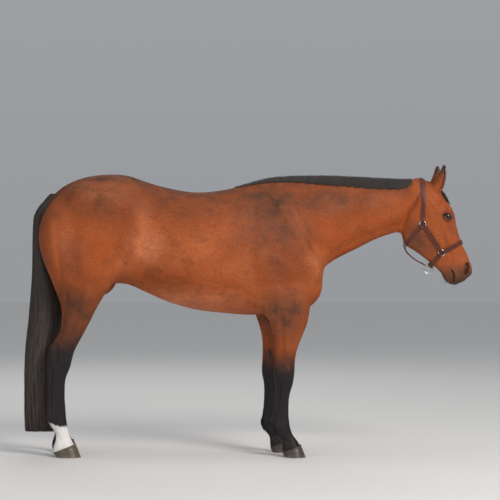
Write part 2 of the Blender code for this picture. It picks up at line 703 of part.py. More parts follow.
def hit_from_outside(tree, centre, direction):
    """The outermost point of the flesh that lies this way from the centre."""
    direction = Vector(direction).normalized()
    place, _, _, _ = tree.ray_cast(Vector(centre) + direction * RAY_START, -direction)
    return np.array(place)


def mane_rings(tree):
    """A lock that starts just left of the crest and lies down the right side of the neck."""
    rings = []
    for x, thick, length in fill_in(MANE, 20):
        x, thick, length = x * SIZE, thick * SIZE, length * SIZE
        crest = hit_from_outside(tree, (x, 0.0, 1.2), (0, 0, 1))
        centre = crest - np.array((0.0, 0.0, CREST_RADIUS))
        turns = np.radians(np.arange(*MANE_TURNS))
        skin = np.array([hit_from_outside(tree, centre, (0, -math.sin(a), math.cos(a))) for a in turns])
        along = np.concatenate([[0.0], np.cumsum(np.linalg.norm(np.diff(skin, axis=0), axis=1))])
        at = np.linspace(0.0, length + np.interp(0.0, turns, along), 7)
        path = np.stack([np.interp(at, along, skin[:, k]) for k in range(3)], axis=1)
        out = path - centre
        out /= np.linalg.norm(out, axis=1)[:, None]
        share = np.linspace(-0.25, 1.0, 7)[:, None]
        depth = thick * np.clip(1.05 - share**2 * 0.75, 0.2, 1.0)
        rings.append(np.concatenate([path + out * (HAIR_LIFT + depth), (path + out * HAIR_LIFT)[::-1]]))
    return np.array(rings)


def forelock_rings(tree):
    rings = []
    front = (-FACE_DOWN[1], 0.0, FACE_DOWN[0])
    for s, middle, half, thick in fill_in(FORELOCK, 8):
        centre = head_point(s, 0.0, middle) * SIZE
        across = np.linspace(-1.0, 1.0, 7)
        starts = centre + np.array((0.0, half * SIZE, 0.0)) * across[:, None]
        skin = np.array([hit_from_outside(tree, start, front) for start in starts])
        rise = (thick * SIZE * (1 - 0.7 * across**2))[:, None] * np.array(front)
        rest = HAIR_LIFT * np.array(front)
        rings.append(np.concatenate([skin + rest + rise, (skin + rest)[::-1]]))
    return np.array(rings)


def tail_rings():
    rings = []
    for z, x_back, x_front, half in fill_in(TAIL, 15):
        across, along = oval(16, *TAIL_ROUNDNESS)
        x = (x_front + x_back) / 2 - along * (x_front - x_back) / 2
        rings.append(np.stack([x, half * across, np.full_like(x, z)], axis=1))
    return sized(rings)


# ---------------------------------------------------------------- head collar
def hull(points):
    """The corners of the convex outline of points in a plane, in order."""
    ordered = sorted(map(tuple, points))
    chains = []
    for run in (ordered, ordered[::-1]):
        chain = []
        for p in run:
            while len(chain) > 1 and turn_of(chain[-2], chain[-1], p) <= 0:
                chain.pop()
            chain.append(p)
        chains.append(chain[:-1])
    return np.array(chains[0] + chains[1])


def turn_of(a, b, c):
    return (b[0] - a[0]) * (c[1] - a[1]) - (b[1] - a[1]) * (c[0] - a[0])


def wrap(tree, start, towards, offset, lift, first, count, sag=0.0):
    """Points over the flesh in one plane, from the right side to the left, where a taut strap would lie.

    The plane holds the line start to towards of the side view, moved by offset square to it. `first` is
    where the strap begins: degrees from straight out to the right, at start, round towards `towards`.
    It lies `lift` off the flesh, and `sag` more in the middle.
    """
    way = np.array((towards[0] - start[0], 0.0, towards[1] - start[1]))
    way /= np.linalg.norm(way)
    square = np.array((-way[2], 0.0, way[0]))
    centre = np.array((start[0], 0.0, start[1])) * SIZE + square * offset
    right = np.array((0.0, -1.0, 0.0))
    turns = np.radians(np.linspace(-20.0, 200.0, 111))
    rays = np.cos(turns)[:, None] * right + np.sin(turns)[:, None] * way
    skin = np.array([hit_from_outside(tree, centre, ray) for ray in rays]) - centre
    flat = np.stack([skin @ right, skin @ way], axis=1)
    outline = hull(flat)
    outline = np.concatenate([outline, outline[:1]])
    steps = np.concatenate([[0.0], np.cumsum(np.linalg.norm(np.diff(outline, axis=0), axis=1))])
    dense = np.linspace(0.0, steps[-1], 1500)[:-1]
    outline = np.stack([np.interp(dense, steps, outline[:, k]) for k in range(2)], axis=1)
    angle = np.degrees(np.arctan2(outline[:, 1], outline[:, 0]))
    keep = (angle >= first) & (angle <= 180.0 - first)
    outline = outline[keep][np.argsort(angle[keep])]
    steps = np.concatenate([[0.0], np.cumsum(np.linalg.norm(np.diff(outline, axis=0), axis=1))])
    at = np.linspace(0.0, steps[-1], count)
    path = np.stack([np.interp(at, steps, outline[:, k]) for k in range(2)], axis=1)
    slope = np.gradient(path, axis=0)
    out = np.stack([slope[:, 1], -slope[:, 0]], axis=1)
    out /= np.linalg.norm(out, axis=1)[:, None]
    path = path + out * (lift + sag * np.sin(np.linspace(0.0, math.pi, count)) ** 4)[:, None]
    spread = np.stack([right, way])
    return centre + path @ spread, out @ spread


def strap_rings(tree, start, towards, first, count, sag=0.0):
    edges = []
    for offset in (-STRAP_WIDTH / 2, STRAP_WIDTH / 2):
        path, out = wrap(tree, start, towards, offset * SIZE, STRAP_LIFT * SIZE, first, count, sag * SIZE)
        edges.append((path, path + out * STRAP_THICK * SIZE))
    (near, near_top), (far, far_top) = edges
    return np.stack([near, near_top, far_top, far], axis=1)


def side_strap_rings(tree, start, end, side, count=8):
    """A strap laid on one cheek from start to end, shortened at both ends."""
    start, end = (np.array((x, 0.0, z)) * SIZE for x, z in (start, end))
    way = (end - start) / np.linalg.norm(end - start)
    trim = way * CHEEKPIECE_TRIM * SIZE
    square = np.array((-way[2], 0.0, way[0]))
    edges = []
    for offset in (-STRAP_WIDTH / 2, STRAP_WIDTH / 2):
        places = np.linspace(start + trim, end - trim, count)
        places = places + square * offset * SIZE
        skin = np.array([hit_from_outside(tree, place, (0, side, 0)) for place in places])
        skin[:, 1] += side * STRAP_LIFT * SIZE
        edges += [skin, skin + np.array((0.0, side * STRAP_THICK * SIZE, 0.0))]
    return np.stack([edges[0], edges[1], edges[3], edges[2]], axis=1)


def plate_rings(tree, place, side):
    """A round plate that lies flat on the straps at one cheek."""
    x, z = np.array(place) * SIZE
    turns = np.arange(16) * math.pi / 8
    rim = np.stack([np.cos(turns), np.zeros(16), np.sin(turns)], axis=1) * PLATE_RADIUS * SIZE
    spots = np.array([hit_from_outside(tree, (x + r[0], 0.0, z + r[2]), (0, side, 0)) for r in rim])
    middle = spots.mean(axis=0)
    _, _, axes = np.linalg.svd(spots - middle)
    out = axes[2] * np.sign(axes[2][1] * side)
    flat = np.array([p - out * ((p - middle) @ out) for p in spots])
    level = max((p - middle) @ out for p in spots) + PLATE_LIFT * SIZE
    rings = []
    for share, size in ((0.0, 1.0), (0.7, 1.0), (1.0, 0.8)):
        rings.append(middle + (flat - middle) * size + out * (level + share * PLATE_THICK * SIZE))
    return np.array(rings)


def lead_ring(name, centre, home):
    """A steel ring round `centre` whose hole runs along Y."""
    bpy.ops.mesh.primitive_torus_add(
        location=centre,
        rotation=(math.pi / 2, 0.0, 0.0),
        major_radius=LEAD_RING_RADIUS * SIZE,
        minor_radius=LEAD_RING_TUBE * SIZE,
        major_segments=24,
        minor_segments=6,
    )
    ring = bpy.context.object
    ring.name = name
    for holder in ring.users_collection:
        holder.objects.unlink(ring)
    home.objects.link(ring)
    return ring


def jaw_strap_rings():
    """A thin strap that hangs free in the middle plane, from the jaw's corner to the lead ring."""
    path = fill_in([(x, z, 0.0) for x, z in JAW_STRAP_PATH], 10)[:, :2]
    slope = np.gradient(path, axis=0)
    square = np.stack([-slope[:, 1], slope[:, 0]], axis=1)
    square /= np.linalg.norm(square, axis=1)[:, None]
    rings = []
    corners = ((-1, -1), (1, -1), (1, 1), (-1, 1))
    wide, thick = np.array(JAW_STRAP) / 2
    for p, n in zip(path, square):
        rings.append([(p[0] + n[0] * v * thick, u * wide, p[1] + n[1] * v * thick) for u, v in corners])
    return sized(rings)


def lead_ring_centre(strap):
    """Where the ring hangs: the strap's middle runs through its hole, near the top of it."""
    middle = strap[len(strap) // 2 - 1 : len(strap) // 2 + 1].mean(axis=(0, 1))
    way = np.array((CHIN_STRAP[0] - NOSE_RING[0], 0.0, CHIN_STRAP[1] - NOSE_RING[1]))
    return middle + way / np.linalg.norm(way) * LEAD_RING_RADIUS * SIZE / 2


# ---------------------------------------------------------------- assembly
def dress(obj, mat):
    obj.data.materials.clear()
    obj.data.materials.append(mat)
    for polygon in obj.data.polygons:
        polygon.use_smooth = True
    obj.data.set_sharp_from_angle(angle=math.radians(40))
    return obj


def main():
    clear_scene()
    horse, guides = collection("horse"), collection("guides", rendered=False)
    coat = material("coat", BAY, 0.55)
    points = material("black_points", BLACK_POINT, 0.6)
    hair = material("long_hair", HAIR_BLACK, 0.5)
    horn = material("hoof_horn", HORN, 0.45)
    eyeball = material("eyeball", EYE_BROWN, 0.06)
    leather = material("leather", LEATHER, 0.5)
    steel = material("steel", STEEL, 0.3, 1.0)

    flesh = thinned(whole_flesh(guides), FLESH_TRIANGLES)
    guide(flesh)
    clearance = clearance_of(flesh, guides)
    tree = surface_tree(flesh)
    parts = part_flesh(flesh, horse)
    for name, obj in parts.items():
        dress(obj, points if "cannon" in name else coat)

    for side, word in SIDES:
        s, y, f = EYE
        centre = head_point(s, f, side * y)
        socket = guide(sphere("socket", centre, [EYE_RADIUS + GAP] * 3, 0.0, guides))
        s, y, f = NOSTRIL
        depth, width, length = NOSTRIL_RADII
        centre_of_pocket = head_point(s, f, side * y)
        pocket = guide(sphere("pocket", centre_of_pocket, (depth, width, length), FACE_LEAN, guides))
        cut(parts["head"], socket, pocket)
        dress(sphere(f"eye_{word}", centre, [EYE_RADIUS] * 3, 0.0, horse), eyeball)
        dress(cut(loft(f"ear_{word}", ear_rings(side), horse), clearance), coat)
        dress(hoof_solid(f"fore_hoof_{word}", FORE_HOOF, side, back_of(side, FORE_PLANE), horse), horn)
        dress(hoof_solid(f"hind_hoof_{word}", HIND_HOOF, side, back_of(side, HIND_PLANE), horse), horn)

    dress(cut(loft("mane", mane_rings(tree), horse), clearance), hair)
    dress(cut(loft("forelock", forelock_rings(tree), horse), clearance), hair)
    dress(cut(loft("tail", tail_rings(), horse), clearance), hair)

    straps = {
        "crown_strap": strap_rings(tree, CHEEK_FITTING, POLL_STRAP, CHEEK_START, 22),
        "throat_strap": strap_rings(tree, CHEEK_FITTING, JAW_CORNER, CHEEK_START, 22),
        "noseband": strap_rings(tree, NOSE_RING, NOSE_BRIDGE, NOSE_START, 18),
        "chin_strap": strap_rings(tree, NOSE_RING, CHIN_STRAP, NOSE_START, 20, CHIN_SAG),
        "jaw_strap": jaw_strap_rings(),
    }
    for side, word in SIDES:
        straps[f"cheekpiece_{word}"] = side_strap_rings(tree, CHEEK_FITTING, NOSE_RING, side)
    for name, rings in straps.items():
        dress(cut(loft(name, rings, horse), clearance), leather)
    for side, word in SIDES:
        for name, place in (("cheek_fitting", CHEEK_FITTING), ("nose_fitting", NOSE_RING)):
            dress(loft(f"{name}_{word}", plate_rings(tree, place, side), horse), steel)
    dress(lead_ring("lead_ring", lead_ring_centre(straps["chin_strap"]), horse), steel)


main()
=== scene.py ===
"""The looks of the bay horse: one skin with its coat, long hair, eyes, hooves and a stitched head collar.

Metres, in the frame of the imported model. The horse faces +X and its right side is -Y.
"""

import math

import bmesh
import bpy
import numpy as np
from mathutils import Matrix, Vector
from mathutils.bvhtree import BVHTree


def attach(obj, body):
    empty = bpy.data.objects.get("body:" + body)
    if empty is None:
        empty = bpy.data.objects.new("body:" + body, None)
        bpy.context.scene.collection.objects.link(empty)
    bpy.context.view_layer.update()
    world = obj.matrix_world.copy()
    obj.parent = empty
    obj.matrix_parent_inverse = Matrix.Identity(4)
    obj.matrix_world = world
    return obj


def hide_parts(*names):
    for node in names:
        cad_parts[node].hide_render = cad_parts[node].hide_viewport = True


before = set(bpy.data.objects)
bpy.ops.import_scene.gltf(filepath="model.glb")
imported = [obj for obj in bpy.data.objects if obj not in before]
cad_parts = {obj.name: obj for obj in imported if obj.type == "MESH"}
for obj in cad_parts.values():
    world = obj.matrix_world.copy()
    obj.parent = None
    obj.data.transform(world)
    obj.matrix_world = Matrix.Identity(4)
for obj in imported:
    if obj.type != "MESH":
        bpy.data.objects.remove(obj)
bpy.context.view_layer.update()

# ---------------------------------------------------------------- driving dimensions
RING_SIDES = 36  # points round a loft's section
CAD_VOXEL = 0.0075  # size of the remesh that fuses the flesh, as in the solids
LEFT_FORE_BACK = 0.065  # the left foreleg stands this far behind the right one
LEFT_HIND_BACK = 0.037  # and the left hind leg
BETWEEN_LEGS = -0.4  # x between the forelegs and the hind legs
SIDES = ((-1, "right"), (1, "left"))

# ---------------------------------------------------------------- stations of the flesh
# Trunk, tail end to breast: x, top, height of the widest line, bottom, half width, roundness above, below.
TRUNK = (
    (-1.140, 1.420, 1.330, 1.240, 0.045, 2.0, 2.0),
    (-1.090, 1.493, 1.340, 1.130, 0.120, 2.0, 2.0),
    (-1.000, 1.553, 1.340, 1.030, 0.190, 2.1, 2.0),
    (-0.900, 1.585, 1.350, 0.985, 0.240, 2.2, 2.0),
    (-0.787, 1.597, 1.370, 0.975, 0.268, 2.3, 2.0),
    (-0.690, 1.592, 1.370, 0.970, 0.272, 2.3, 2.0),
    (-0.580, 1.557, 1.300, 0.925, 0.262, 2.2, 2.0),
    (-0.450, 1.520, 1.220, 0.868, 0.276, 2.2, 2.0),
    (-0.290, 1.495, 1.180, 0.824, 0.298, 2.1, 2.1),
    (-0.120, 1.512, 1.160, 0.803, 0.290, 2.0, 2.1),
    (0.010, 1.545, 1.140, 0.794, 0.266, 1.7, 2.1),
    (0.110, 1.570, 1.120, 0.798, 0.246, 1.6, 2.2),
    (0.210, 1.580, 1.110, 0.815, 0.230, 1.6, 2.3),
    (0.310, 1.560, 1.100, 0.855, 0.208, 1.7, 2.3),
    (0.375, 1.420, 1.090, 0.910, 0.176, 2.0, 2.2),
    (0.415, 1.280, 1.090, 0.980, 0.115, 2.0, 2.0),
    (0.430, 1.150, 1.075, 1.020, 0.045, 2.0, 2.0),
)

# Neck, withers to poll: top x z, bottom x z, half width, where the widest line lies, roundness above, below.
NECK = (
    (0.050, 1.545, 0.280, 0.980, 0.170, 0.50, 1.7, 2.0),
    (0.210, 1.580, 0.405, 1.040, 0.162, 0.50, 1.6, 2.0),
    (0.380, 1.585, 0.500, 1.105, 0.142, 0.54, 1.5, 2.1),
    (0.550, 1.582, 0.625, 1.168, 0.117, 0.56, 1.5, 2.1),
    (0.720, 1.573, 0.760, 1.235, 0.096, 0.56, 1.6, 2.2),
    (0.860, 1.566, 0.875, 1.266, 0.083, 0.52, 1.8, 2.2),
    (0.960, 1.564, 0.950, 1.260, 0.074, 0.50, 2.0, 2.2),
    (1.030, 1.545, 1.020, 1.320, 0.050, 0.50, 2.0, 2.0),
)

# Head, poll to lips, in its own axes: s runs down the face from the poll, f stands out to its front.
# Each station: s, front, then half width and f at brow, cheek, jaw and jaw edge, then the back's f.
POLL = np.array((0.985, 0.0, 1.585))
FACE_DOWN = np.array((0.370, 0.0, -0.929))
FACE_OUT = np.array((0.929, 0.0, 0.370))
FACE_LEAN = -21.7  # degrees, of FACE_DOWN from the plumb line
HEAD = (
    (0.000, -0.008, 0.030, -0.018, 0.046, -0.045, 0.044, -0.085, 0.020, -0.108, -0.110),
    (0.055, 0.034, 0.050, 0.022, 0.072, -0.025, 0.064, -0.100, 0.028, -0.138, -0.140),
    (0.120, 0.076, 0.070, 0.054, 0.090, -0.005, 0.076, -0.115, 0.032, -0.166, -0.163),
    (0.200, 0.093, 0.080, 0.074, 0.099, 0.020, 0.086, -0.115, 0.040, -0.192, -0.186),
    (0.265, 0.103, 0.084, 0.084, 0.099, 0.030, 0.088, -0.118, 0.044, -0.217, -0.200),
    (0.330, 0.092, 0.066, 0.076, 0.088, 0.008, 0.084, -0.120, 0.044, -0.224, -0.202),
    (0.385, 0.086, 0.052, 0.072, 0.076, -0.002, 0.070, -0.106, 0.040, -0.188, -0.166),
    (0.450, 0.084, 0.042, 0.070, 0.062, -0.004, 0.053, -0.085, 0.036, -0.146, -0.130),
    (0.510, 0.090, 0.038, 0.077, 0.054, 0.010, 0.045, -0.068, 0.032, -0.113, -0.106),
    (0.560, 0.089, 0.040, 0.073, 0.059, 0.018, 0.046, -0.052, 0.031, -0.087, -0.088),
    (0.598, 0.077, 0.038, 0.060, 0.058, 0.012, 0.046, -0.046, 0.030, -0.086, -0.089),
    (0.628, 0.058, 0.032, 0.043, 0.049, 0.002, 0.041, -0.042, 0.025, -0.070, -0.074),
    (0.650, 0.026, 0.018, 0.019, 0.028, -0.006, 0.024, -0.028, 0.014, -0.044, -0.047),
)

# Masses that stand out of the head's loft, on both sides: centre s, y, f, then radii along f, y and s.
HEAD_MASSES = (
    ("masseter", (0.235, 0.046, -0.108), (0.086, 0.050, 0.118)),
    ("temple", (0.130, 0.056, 0.030), (0.034, 0.032, 0.060)),
    ("zygomatic_arch", (0.195, 0.084, 0.034), (0.020, 0.020, 0.066)),
    ("orbit", (0.262, 0.077, 0.062), (0.036, 0.026, 0.040)),
    ("brow", (0.236, 0.082, 0.078), (0.020, 0.028, 0.026)),
    ("facial_crest", (0.365, 0.064, 0.010), (0.014, 0.020, 0.085)),
    ("nostril_wing", (0.590, 0.035, 0.050), (0.028, 0.027, 0.042)),
    ("upper_lip", (0.610, 0.020, -0.005), (0.038, 0.038, 0.036)),
    ("chin", (0.588, 0.012, -0.065), (0.025, 0.031, 0.033)),
)
EYE = (0.270, 0.081, 0.053)  # centre: s, y, f
EYE_RADIUS = 0.028

# Legs, top to coronet: z, back x, front x, inner y, outer y, how much wider in front.
FORELEG = (
    (1.080, 0.120, 0.320, 0.080, 0.190, 0.0),
    (0.980, 0.092, 0.350, 0.078, 0.212, 0.0),
    (0.880, 0.092, 0.360, 0.078, 0.214, 0.1),
    (0.800, 0.108, 0.352, 0.078, 0.210, 0.1),
    (0.745, 0.128, 0.340, 0.080, 0.202, 0.1),
    (0.670, 0.147, 0.310, 0.085, 0.190, 0.1),
    (0.591, 0.152, 0.282, 0.090, 0.179, 0.1),
    (0.524, 0.150, 0.272, 0.090, 0.179, 0.1),
    (0.463, 0.148, 0.269, 0.088, 0.181, 0.1),
    (0.410, 0.158, 0.261, 0.092, 0.174, 0.1),
    (0.350, 0.162, 0.243, 0.101, 0.163, 0.2),
    (0.290, 0.158, 0.238, 0.104, 0.160, 0.2),
    (0.225, 0.152, 0.239, 0.103, 0.161, 0.1),
    (0.168, 0.143, 0.246, 0.097, 0.167, 0.0),
    (0.130, 0.158, 0.258, 0.099, 0.165, 0.0),
    (0.090, 0.192, 0.288, 0.099, 0.165, 0.1),
    (0.050, 0.196, 0.306, 0.088, 0.176, 0.1),
    (0.010, 0.200, 0.312, 0.088, 0.176, 0.1),
)
HINDLEG = (
    (1.500, -1.020, -0.740, 0.050, 0.170, 0.0),
    (1.420, -1.120, -0.690, 0.024, 0.222, 0.0),
    (1.320, -1.163, -0.665, 0.014, 0.256, 0.0),
    (1.220, -1.172, -0.668, 0.014, 0.276, 0.0),
    (1.120, -1.150, -0.690, 0.014, 0.280, 0.0),
    (1.030, -1.115, -0.722, 0.018, 0.270, 0.0),
    (0.957, -1.086, -0.772, 0.036, 0.252, 0.1),
    (0.900, -1.064, -0.806, 0.058, 0.236, 0.2),
    (0.840, -1.046, -0.842, 0.076, 0.220, 0.3),
    (0.770, -1.046, -0.876, 0.090, 0.204, 0.3),
    (0.700, -1.060, -0.912, 0.100, 0.190, 0.3),
    (0.645, -1.098, -0.942, 0.099, 0.187, 0.3),
    (0.600, -1.126, -0.966, 0.096, 0.188, 0.3),
    (0.560, -1.129, -0.978, 0.094, 0.188, 0.3),
    (0.503, -1.127, -0.992, 0.098, 0.183, 0.2),
    (0.445, -1.127, -1.016, 0.106, 0.174, 0.2),
    (0.368, -1.125, -1.021, 0.111, 0.168, 0.2),
    (0.278, -1.127, -1.018, 0.110, 0.168, 0.1),
    (0.220, -1.137, -1.013, 0.104, 0.173, 0.0),
    (0.170, -1.100, -1.007, 0.106, 0.171, 0.0),
    (0.130, -1.077, -0.996, 0.107, 0.170, 0.0),
    (0.095, -1.078, -0.984, 0.102, 0.174, 0.1),
    (0.055, -1.092, -0.964, 0.093, 0.183, 0.1),
    (0.010, -1.092, -0.960, 0.093, 0.183, 0.1),
)

# Muscles and bones that stand out of the lofts, on both sides: centre, radii, lean in degrees.
# The lean turns an ellipsoid about Y, so that its top goes back (negative) or forward.
MUSCLES = (
    ("shoulder_blade", (0.260, 0.112, 1.260), (0.120, 0.078, 0.230), -34),
    ("triceps", (0.190, 0.150, 1.050), (0.140, 0.075, 0.160), -25),
    ("shoulder_point", (0.350, 0.112, 1.070), (0.086, 0.088, 0.135), 0),
    ("breast", (0.340, 0.072, 0.955), (0.082, 0.088, 0.125), 15),
    ("elbow", (0.124, 0.148, 0.845), (0.045, 0.045, 0.065), 0),
    ("hip_point", (-0.670, 0.172, 1.420), (0.105, 0.088, 0.085), 0),
    ("gluteal", (-0.840, 0.132, 1.400), (0.220, 0.120, 0.140), 10),
    ("stifle", (-0.822, 0.162, 1.015), (0.080, 0.075, 0.120), 20),
    ("poll", (1.016, 0.020, 1.530), (0.036, 0.034, 0.035), 0),
)

# Where the head ends and the neck begins: a point of the plane, and its normal towards the head.
HEAD_PLANE = ((0.918, 0.0, 1.420), (0.974, 0.0, -0.226))

# Hooves: front of the coronet x z, its heel x z, then the ground's front x, heel x, middle y, half widths.
FORE_HOOF = (0.305, 0.0715, 0.198, 0.029, 0.3325, 0.210, 0.132, 0.046, 0.0625)
HIND_HOOF = (-0.965, 0.0766, -1.090, 0.0265, -0.932, -1.073, 0.138, 0.046, 0.058)

# Tail, dock to cut end: z, back x, front x, half thickness.
TAIL = (
    (1.500, -1.118, -1.036, 0.024),
    (1.470, -1.152, -1.054, 0.034),
    (1.440, -1.178, -1.072, 0.041),
    (1.387, -1.208, -1.100, 0.047),
    (1.298, -1.219, -1.135, 0.050),
    (1.200, -1.221, -1.150, 0.052),
    (1.100, -1.222, -1.130, 0.054),
    (0.966, -1.228, -1.080, 0.058),
    (0.884, -1.235, -1.052, 0.060),
    (0.786, -1.244, -1.046, 0.062),
    (0.606, -1.263, -1.080, 0.064),
    (0.370, -1.270, -1.092, 0.060),
    (0.220, -1.269, -1.088, 0.054),
    (0.130, -1.266, -1.082, 0.048),
)

HAIR_LIFT = 0.002  # between the flesh and the hair that lies on it
# Mane, on the right: x of the station, thickness at the crest, length down the neck.
MANE = (
    (-0.070, 0.003, 0.030),
    (0.020, 0.006, 0.046),
    (0.120, 0.008, 0.056),
    (0.320, 0.009, 0.068),
    (0.450, 0.010, 0.084),
    (0.600, 0.010, 0.086),
    (0.750, 0.010, 0.090),
    (0.860, 0.009, 0.086),
    (0.920, 0.007, 0.080),
    (0.935, 0.005, 0.076),
)
# Forelock, down the forehead and over to its right side: s, middle y, half width, thickness.
FORELOCK = (
    (0.078, 0.000, 0.013, 0.008),
    (0.100, 0.001, 0.019, 0.012),
    (0.128, -0.007, 0.026, 0.013),
    (0.148, -0.020, 0.031, 0.013),
    (0.182, -0.032, 0.028, 0.010),
    (0.214, -0.043, 0.011, 0.005),
)

# Ears, base to tip: share of the length, half width across the opening, depth, wall.
EAR = (
    (0.00, 0.026, 0.040, 0.012),
    (0.18, 0.030, 0.043, 0.009),
    (0.38, 0.031, 0.041, 0.007),
    (0.58, 0.027, 0.032, 0.006),
    (0.75, 0.019, 0.022, 0.005),
    (0.89, 0.010, 0.012, 0.004),
    (0.97, 0.004, 0.005, 0.002),
)
EAR_BASE = (1.056, 0.053, 1.474)
EAR_TIP = (1.117, 0.058, 1.648)
EAR_BULGE = 0.018  # how far its middle stands forward of the line from base to tip
EAR_OPENS = (0.93, 0.28, -0.22)  # where its opening faces
LEFT_EAR_TURNED = (-0.027, 0.004, 0.000)  # how far back the left ear's tip is turned

# Head collar, in the side view: x z.
CHEEK_FITTING = (0.9935, 1.312)
NOSE_RING = (1.104, 1.150)
POLL_STRAP = (0.9985, 1.560)
JAW_CORNER = (0.9005, 1.196)
NOSE_BRIDGE = (1.232, 1.216)
CHIN_STRAP = (1.046, 1.075)
LEAD_RING_RADIUS = 0.026
LEAD_RING_TUBE = 0.004
CHIN_SAG = 0.018  # how far the chin strap hangs under the jaw, for the lead ring
STRAP_WIDTH = 0.025
JAW_STRAP = (0.014, 0.008)  # width and thickness
JAW_STRAP_PATH = ((0.898, 1.181), (0.909, 1.157), (0.932, 1.132), (0.966, 1.106), (1.010, 1.083))


# ---------------------------------------------------------------- tools
PULL = 0.5  # share of the way to its neighbours' middle that a vertex moves in a round of smoothing
OUTSIDE = 0.9  # from this far out, a ray starts outside the flesh


def fill_in(rows, count):
    """The rows with more between them, each column a smooth curve over the distance between rows."""
    rows = np.array(rows, float)
    steps = np.maximum(np.linalg.norm(np.diff(rows[:, :3], axis=0), axis=1), 1e-6)
    at = np.concatenate([[0.0], np.cumsum(steps)])
    slope = np.diff(rows, axis=0) / steps[:, None]
    tangent = np.empty_like(rows)
    tangent[0], tangent[-1] = slope[0], slope[-1]
    before, after = steps[:-1, None], steps[1:, None]
    tangent[1:-1] = (slope[:-1] * after + slope[1:] * before) / (before + after)
    t = np.linspace(0.0, at[-1], count)
    i = np.clip(np.searchsorted(at, t, "right") - 1, 0, len(steps) - 1)
    h = steps[i][:, None]
    u = (t - at[i])[:, None] / h
    return (
        rows[i] * (1 + 2 * u) * (1 - u) ** 2
        + rows[i + 1] * u**2 * (3 - 2 * u)
        + tangent[i] * h * u * (1 - u) ** 2
        - tangent[i + 1] * h * u**2 * (1 - u)
    )


def round_turn(count):
    """This many even angles round a full turn."""
    return np.arange(count) * 2 * math.pi / count


def rays(count, first, second):
    """Unit vectors all round, from two that are square to each other."""
    turn = round_turn(count)
    return np.cos(turn)[:, None] * first + np.sin(turn)[:, None] * second


def signed_power(v, power):
    return np.sign(v) * np.abs(v) ** power


def oval(sides, power_up, power_down):
    """(across, up) on a closed curve, 1 out each way, its top and bottom of unlike roundness."""
    turn = round_turn(sides)
    c, s = np.cos(turn), np.sin(turn)
    power = np.where(c > 0, power_up, power_down)
    return signed_power(s, 2 / power), signed_power(c, 2 / power)


def distances(points):
    """How far along a line of points each one is."""
    return np.concatenate([[0.0], np.cumsum(np.linalg.norm(np.diff(points, axis=0), axis=1))])


def read_off(at, along, rows):
    """All columns of the rows at some distances, where `along` has each row's distance."""
    return np.stack([np.interp(at, along, rows[:, k]) for k in range(rows.shape[1])], axis=1)


def columns_at(rows, x):
    """Each column after the first, read where the first one is x."""
    return [np.interp(x, rows[:, 0], rows[:, k]) for k in range(1, rows.shape[1])]


def closed_curve(points, count):
    """`count` points evenly spaced on a smooth closed curve through `points`."""
    wrapped = np.concatenate([points[-3:], points, points[:3]])
    dense = fill_in(wrapped, 40 * len(wrapped))
    along = distances(dense)
    knots = np.linalg.norm(np.diff(wrapped, axis=0), axis=1)
    first = np.interp(knots[:3].sum() / knots.sum(), np.linspace(0, 1, len(along)), along)
    last = np.interp(1 - knots[-2:].sum() / knots.sum(), np.linspace(0, 1, len(along)), along)
    return read_off(np.linspace(first, last, count + 1)[:-1], along, dense)


def unit(v):
    return v / np.maximum(np.linalg.norm(v, axis=-1, keepdims=True), 1e-12)


def smooth(x, low, high):
    """0 below low, 1 above high and a soft step between, or the reverse where low is above high."""
    t = np.clip((x - low) / (high - low), 0.0, 1.0)
    return t * t * (3 - 2 * t)


def bell(x, width):
    """1 where x is 0, and less away from there, on both sides."""
    return np.exp(-((x / width) ** 2))


def new_object(name, data):
    obj = bpy.data.objects.new(name, data)
    bpy.context.scene.collection.objects.link(obj)
    return obj


def from_bmesh(name, bm):
    mesh = bpy.data.meshes.new(name)
    bm.to_mesh(mesh)
    bm.free()
    return new_object(name, mesh)


def mesh_object(name, verts, faces, flat=False):
    """An object with this mesh. faces is an array, or a list of arrays, of corners, one row a face."""
    blocks = [np.asarray(f, np.int32) for f in (faces if isinstance(faces, list) else [faces])]
    mesh = bpy.data.meshes.new(name)
    verts = np.asarray(verts, np.float32).reshape(-1, 3)
    sizes = np.concatenate([np.full(len(b), b.shape[1]) for b in blocks])
    mesh.vertices.add(len(verts))
    mesh.vertices.foreach_set("co", verts.ravel())
    mesh.loops.add(int(sizes.sum()))
    mesh.loops.foreach_set("vertex_index", np.concatenate([b.ravel() for b in blocks]))
    mesh.polygons.add(len(sizes))
    starts = np.concatenate([[0], np.cumsum(sizes)[:-1]]).astype(np.int32)
    mesh.polygons.foreach_set("loop_start", starts)
    mesh.polygons.foreach_set("use_smooth", np.full(len(sizes), not flat))
    mesh.update(calc_edges=True)
    return new_object(name, mesh)


def tube_faces(rings, sides, closed=False):
    """Quads between rings of points that follow each other, and a fan of triangles for each end."""
    k = np.arange(sides)
    j = (k + 1) % sides
    low = np.arange(rings if closed else rings - 1)[:, None] * sides
    high = (low + sides) % (rings * sides)
    quads = np.stack([low + k, low + j, high + j, high + k], axis=-1).reshape(-1, 4)
    fan = np.stack([np.zeros(sides - 2, int), k[2:], k[1:-1]], axis=1)
    ends = np.concatenate([fan, fan[:, ::-1] + (rings - 1) * sides])
    return quads, (ends[:0] if closed else ends)


def loft(name, rings, closed=False):
    """A mesh through rings of points, the last joined to the first where it is closed."""
    rings = np.asarray(rings, float)
    return faced_out(mesh_object(name, rings.reshape(-1, 3), [*tube_faces(*rings.shape[:2], closed)]))


def faced_out(obj):
    """The object with its faces turned out."""
    bm = bmesh.new()
    bm.from_mesh(obj.data)
    if bm.calc_volume(signed=True) < 0:
        obj.data.flip_normals()
    bm.free()
    return obj


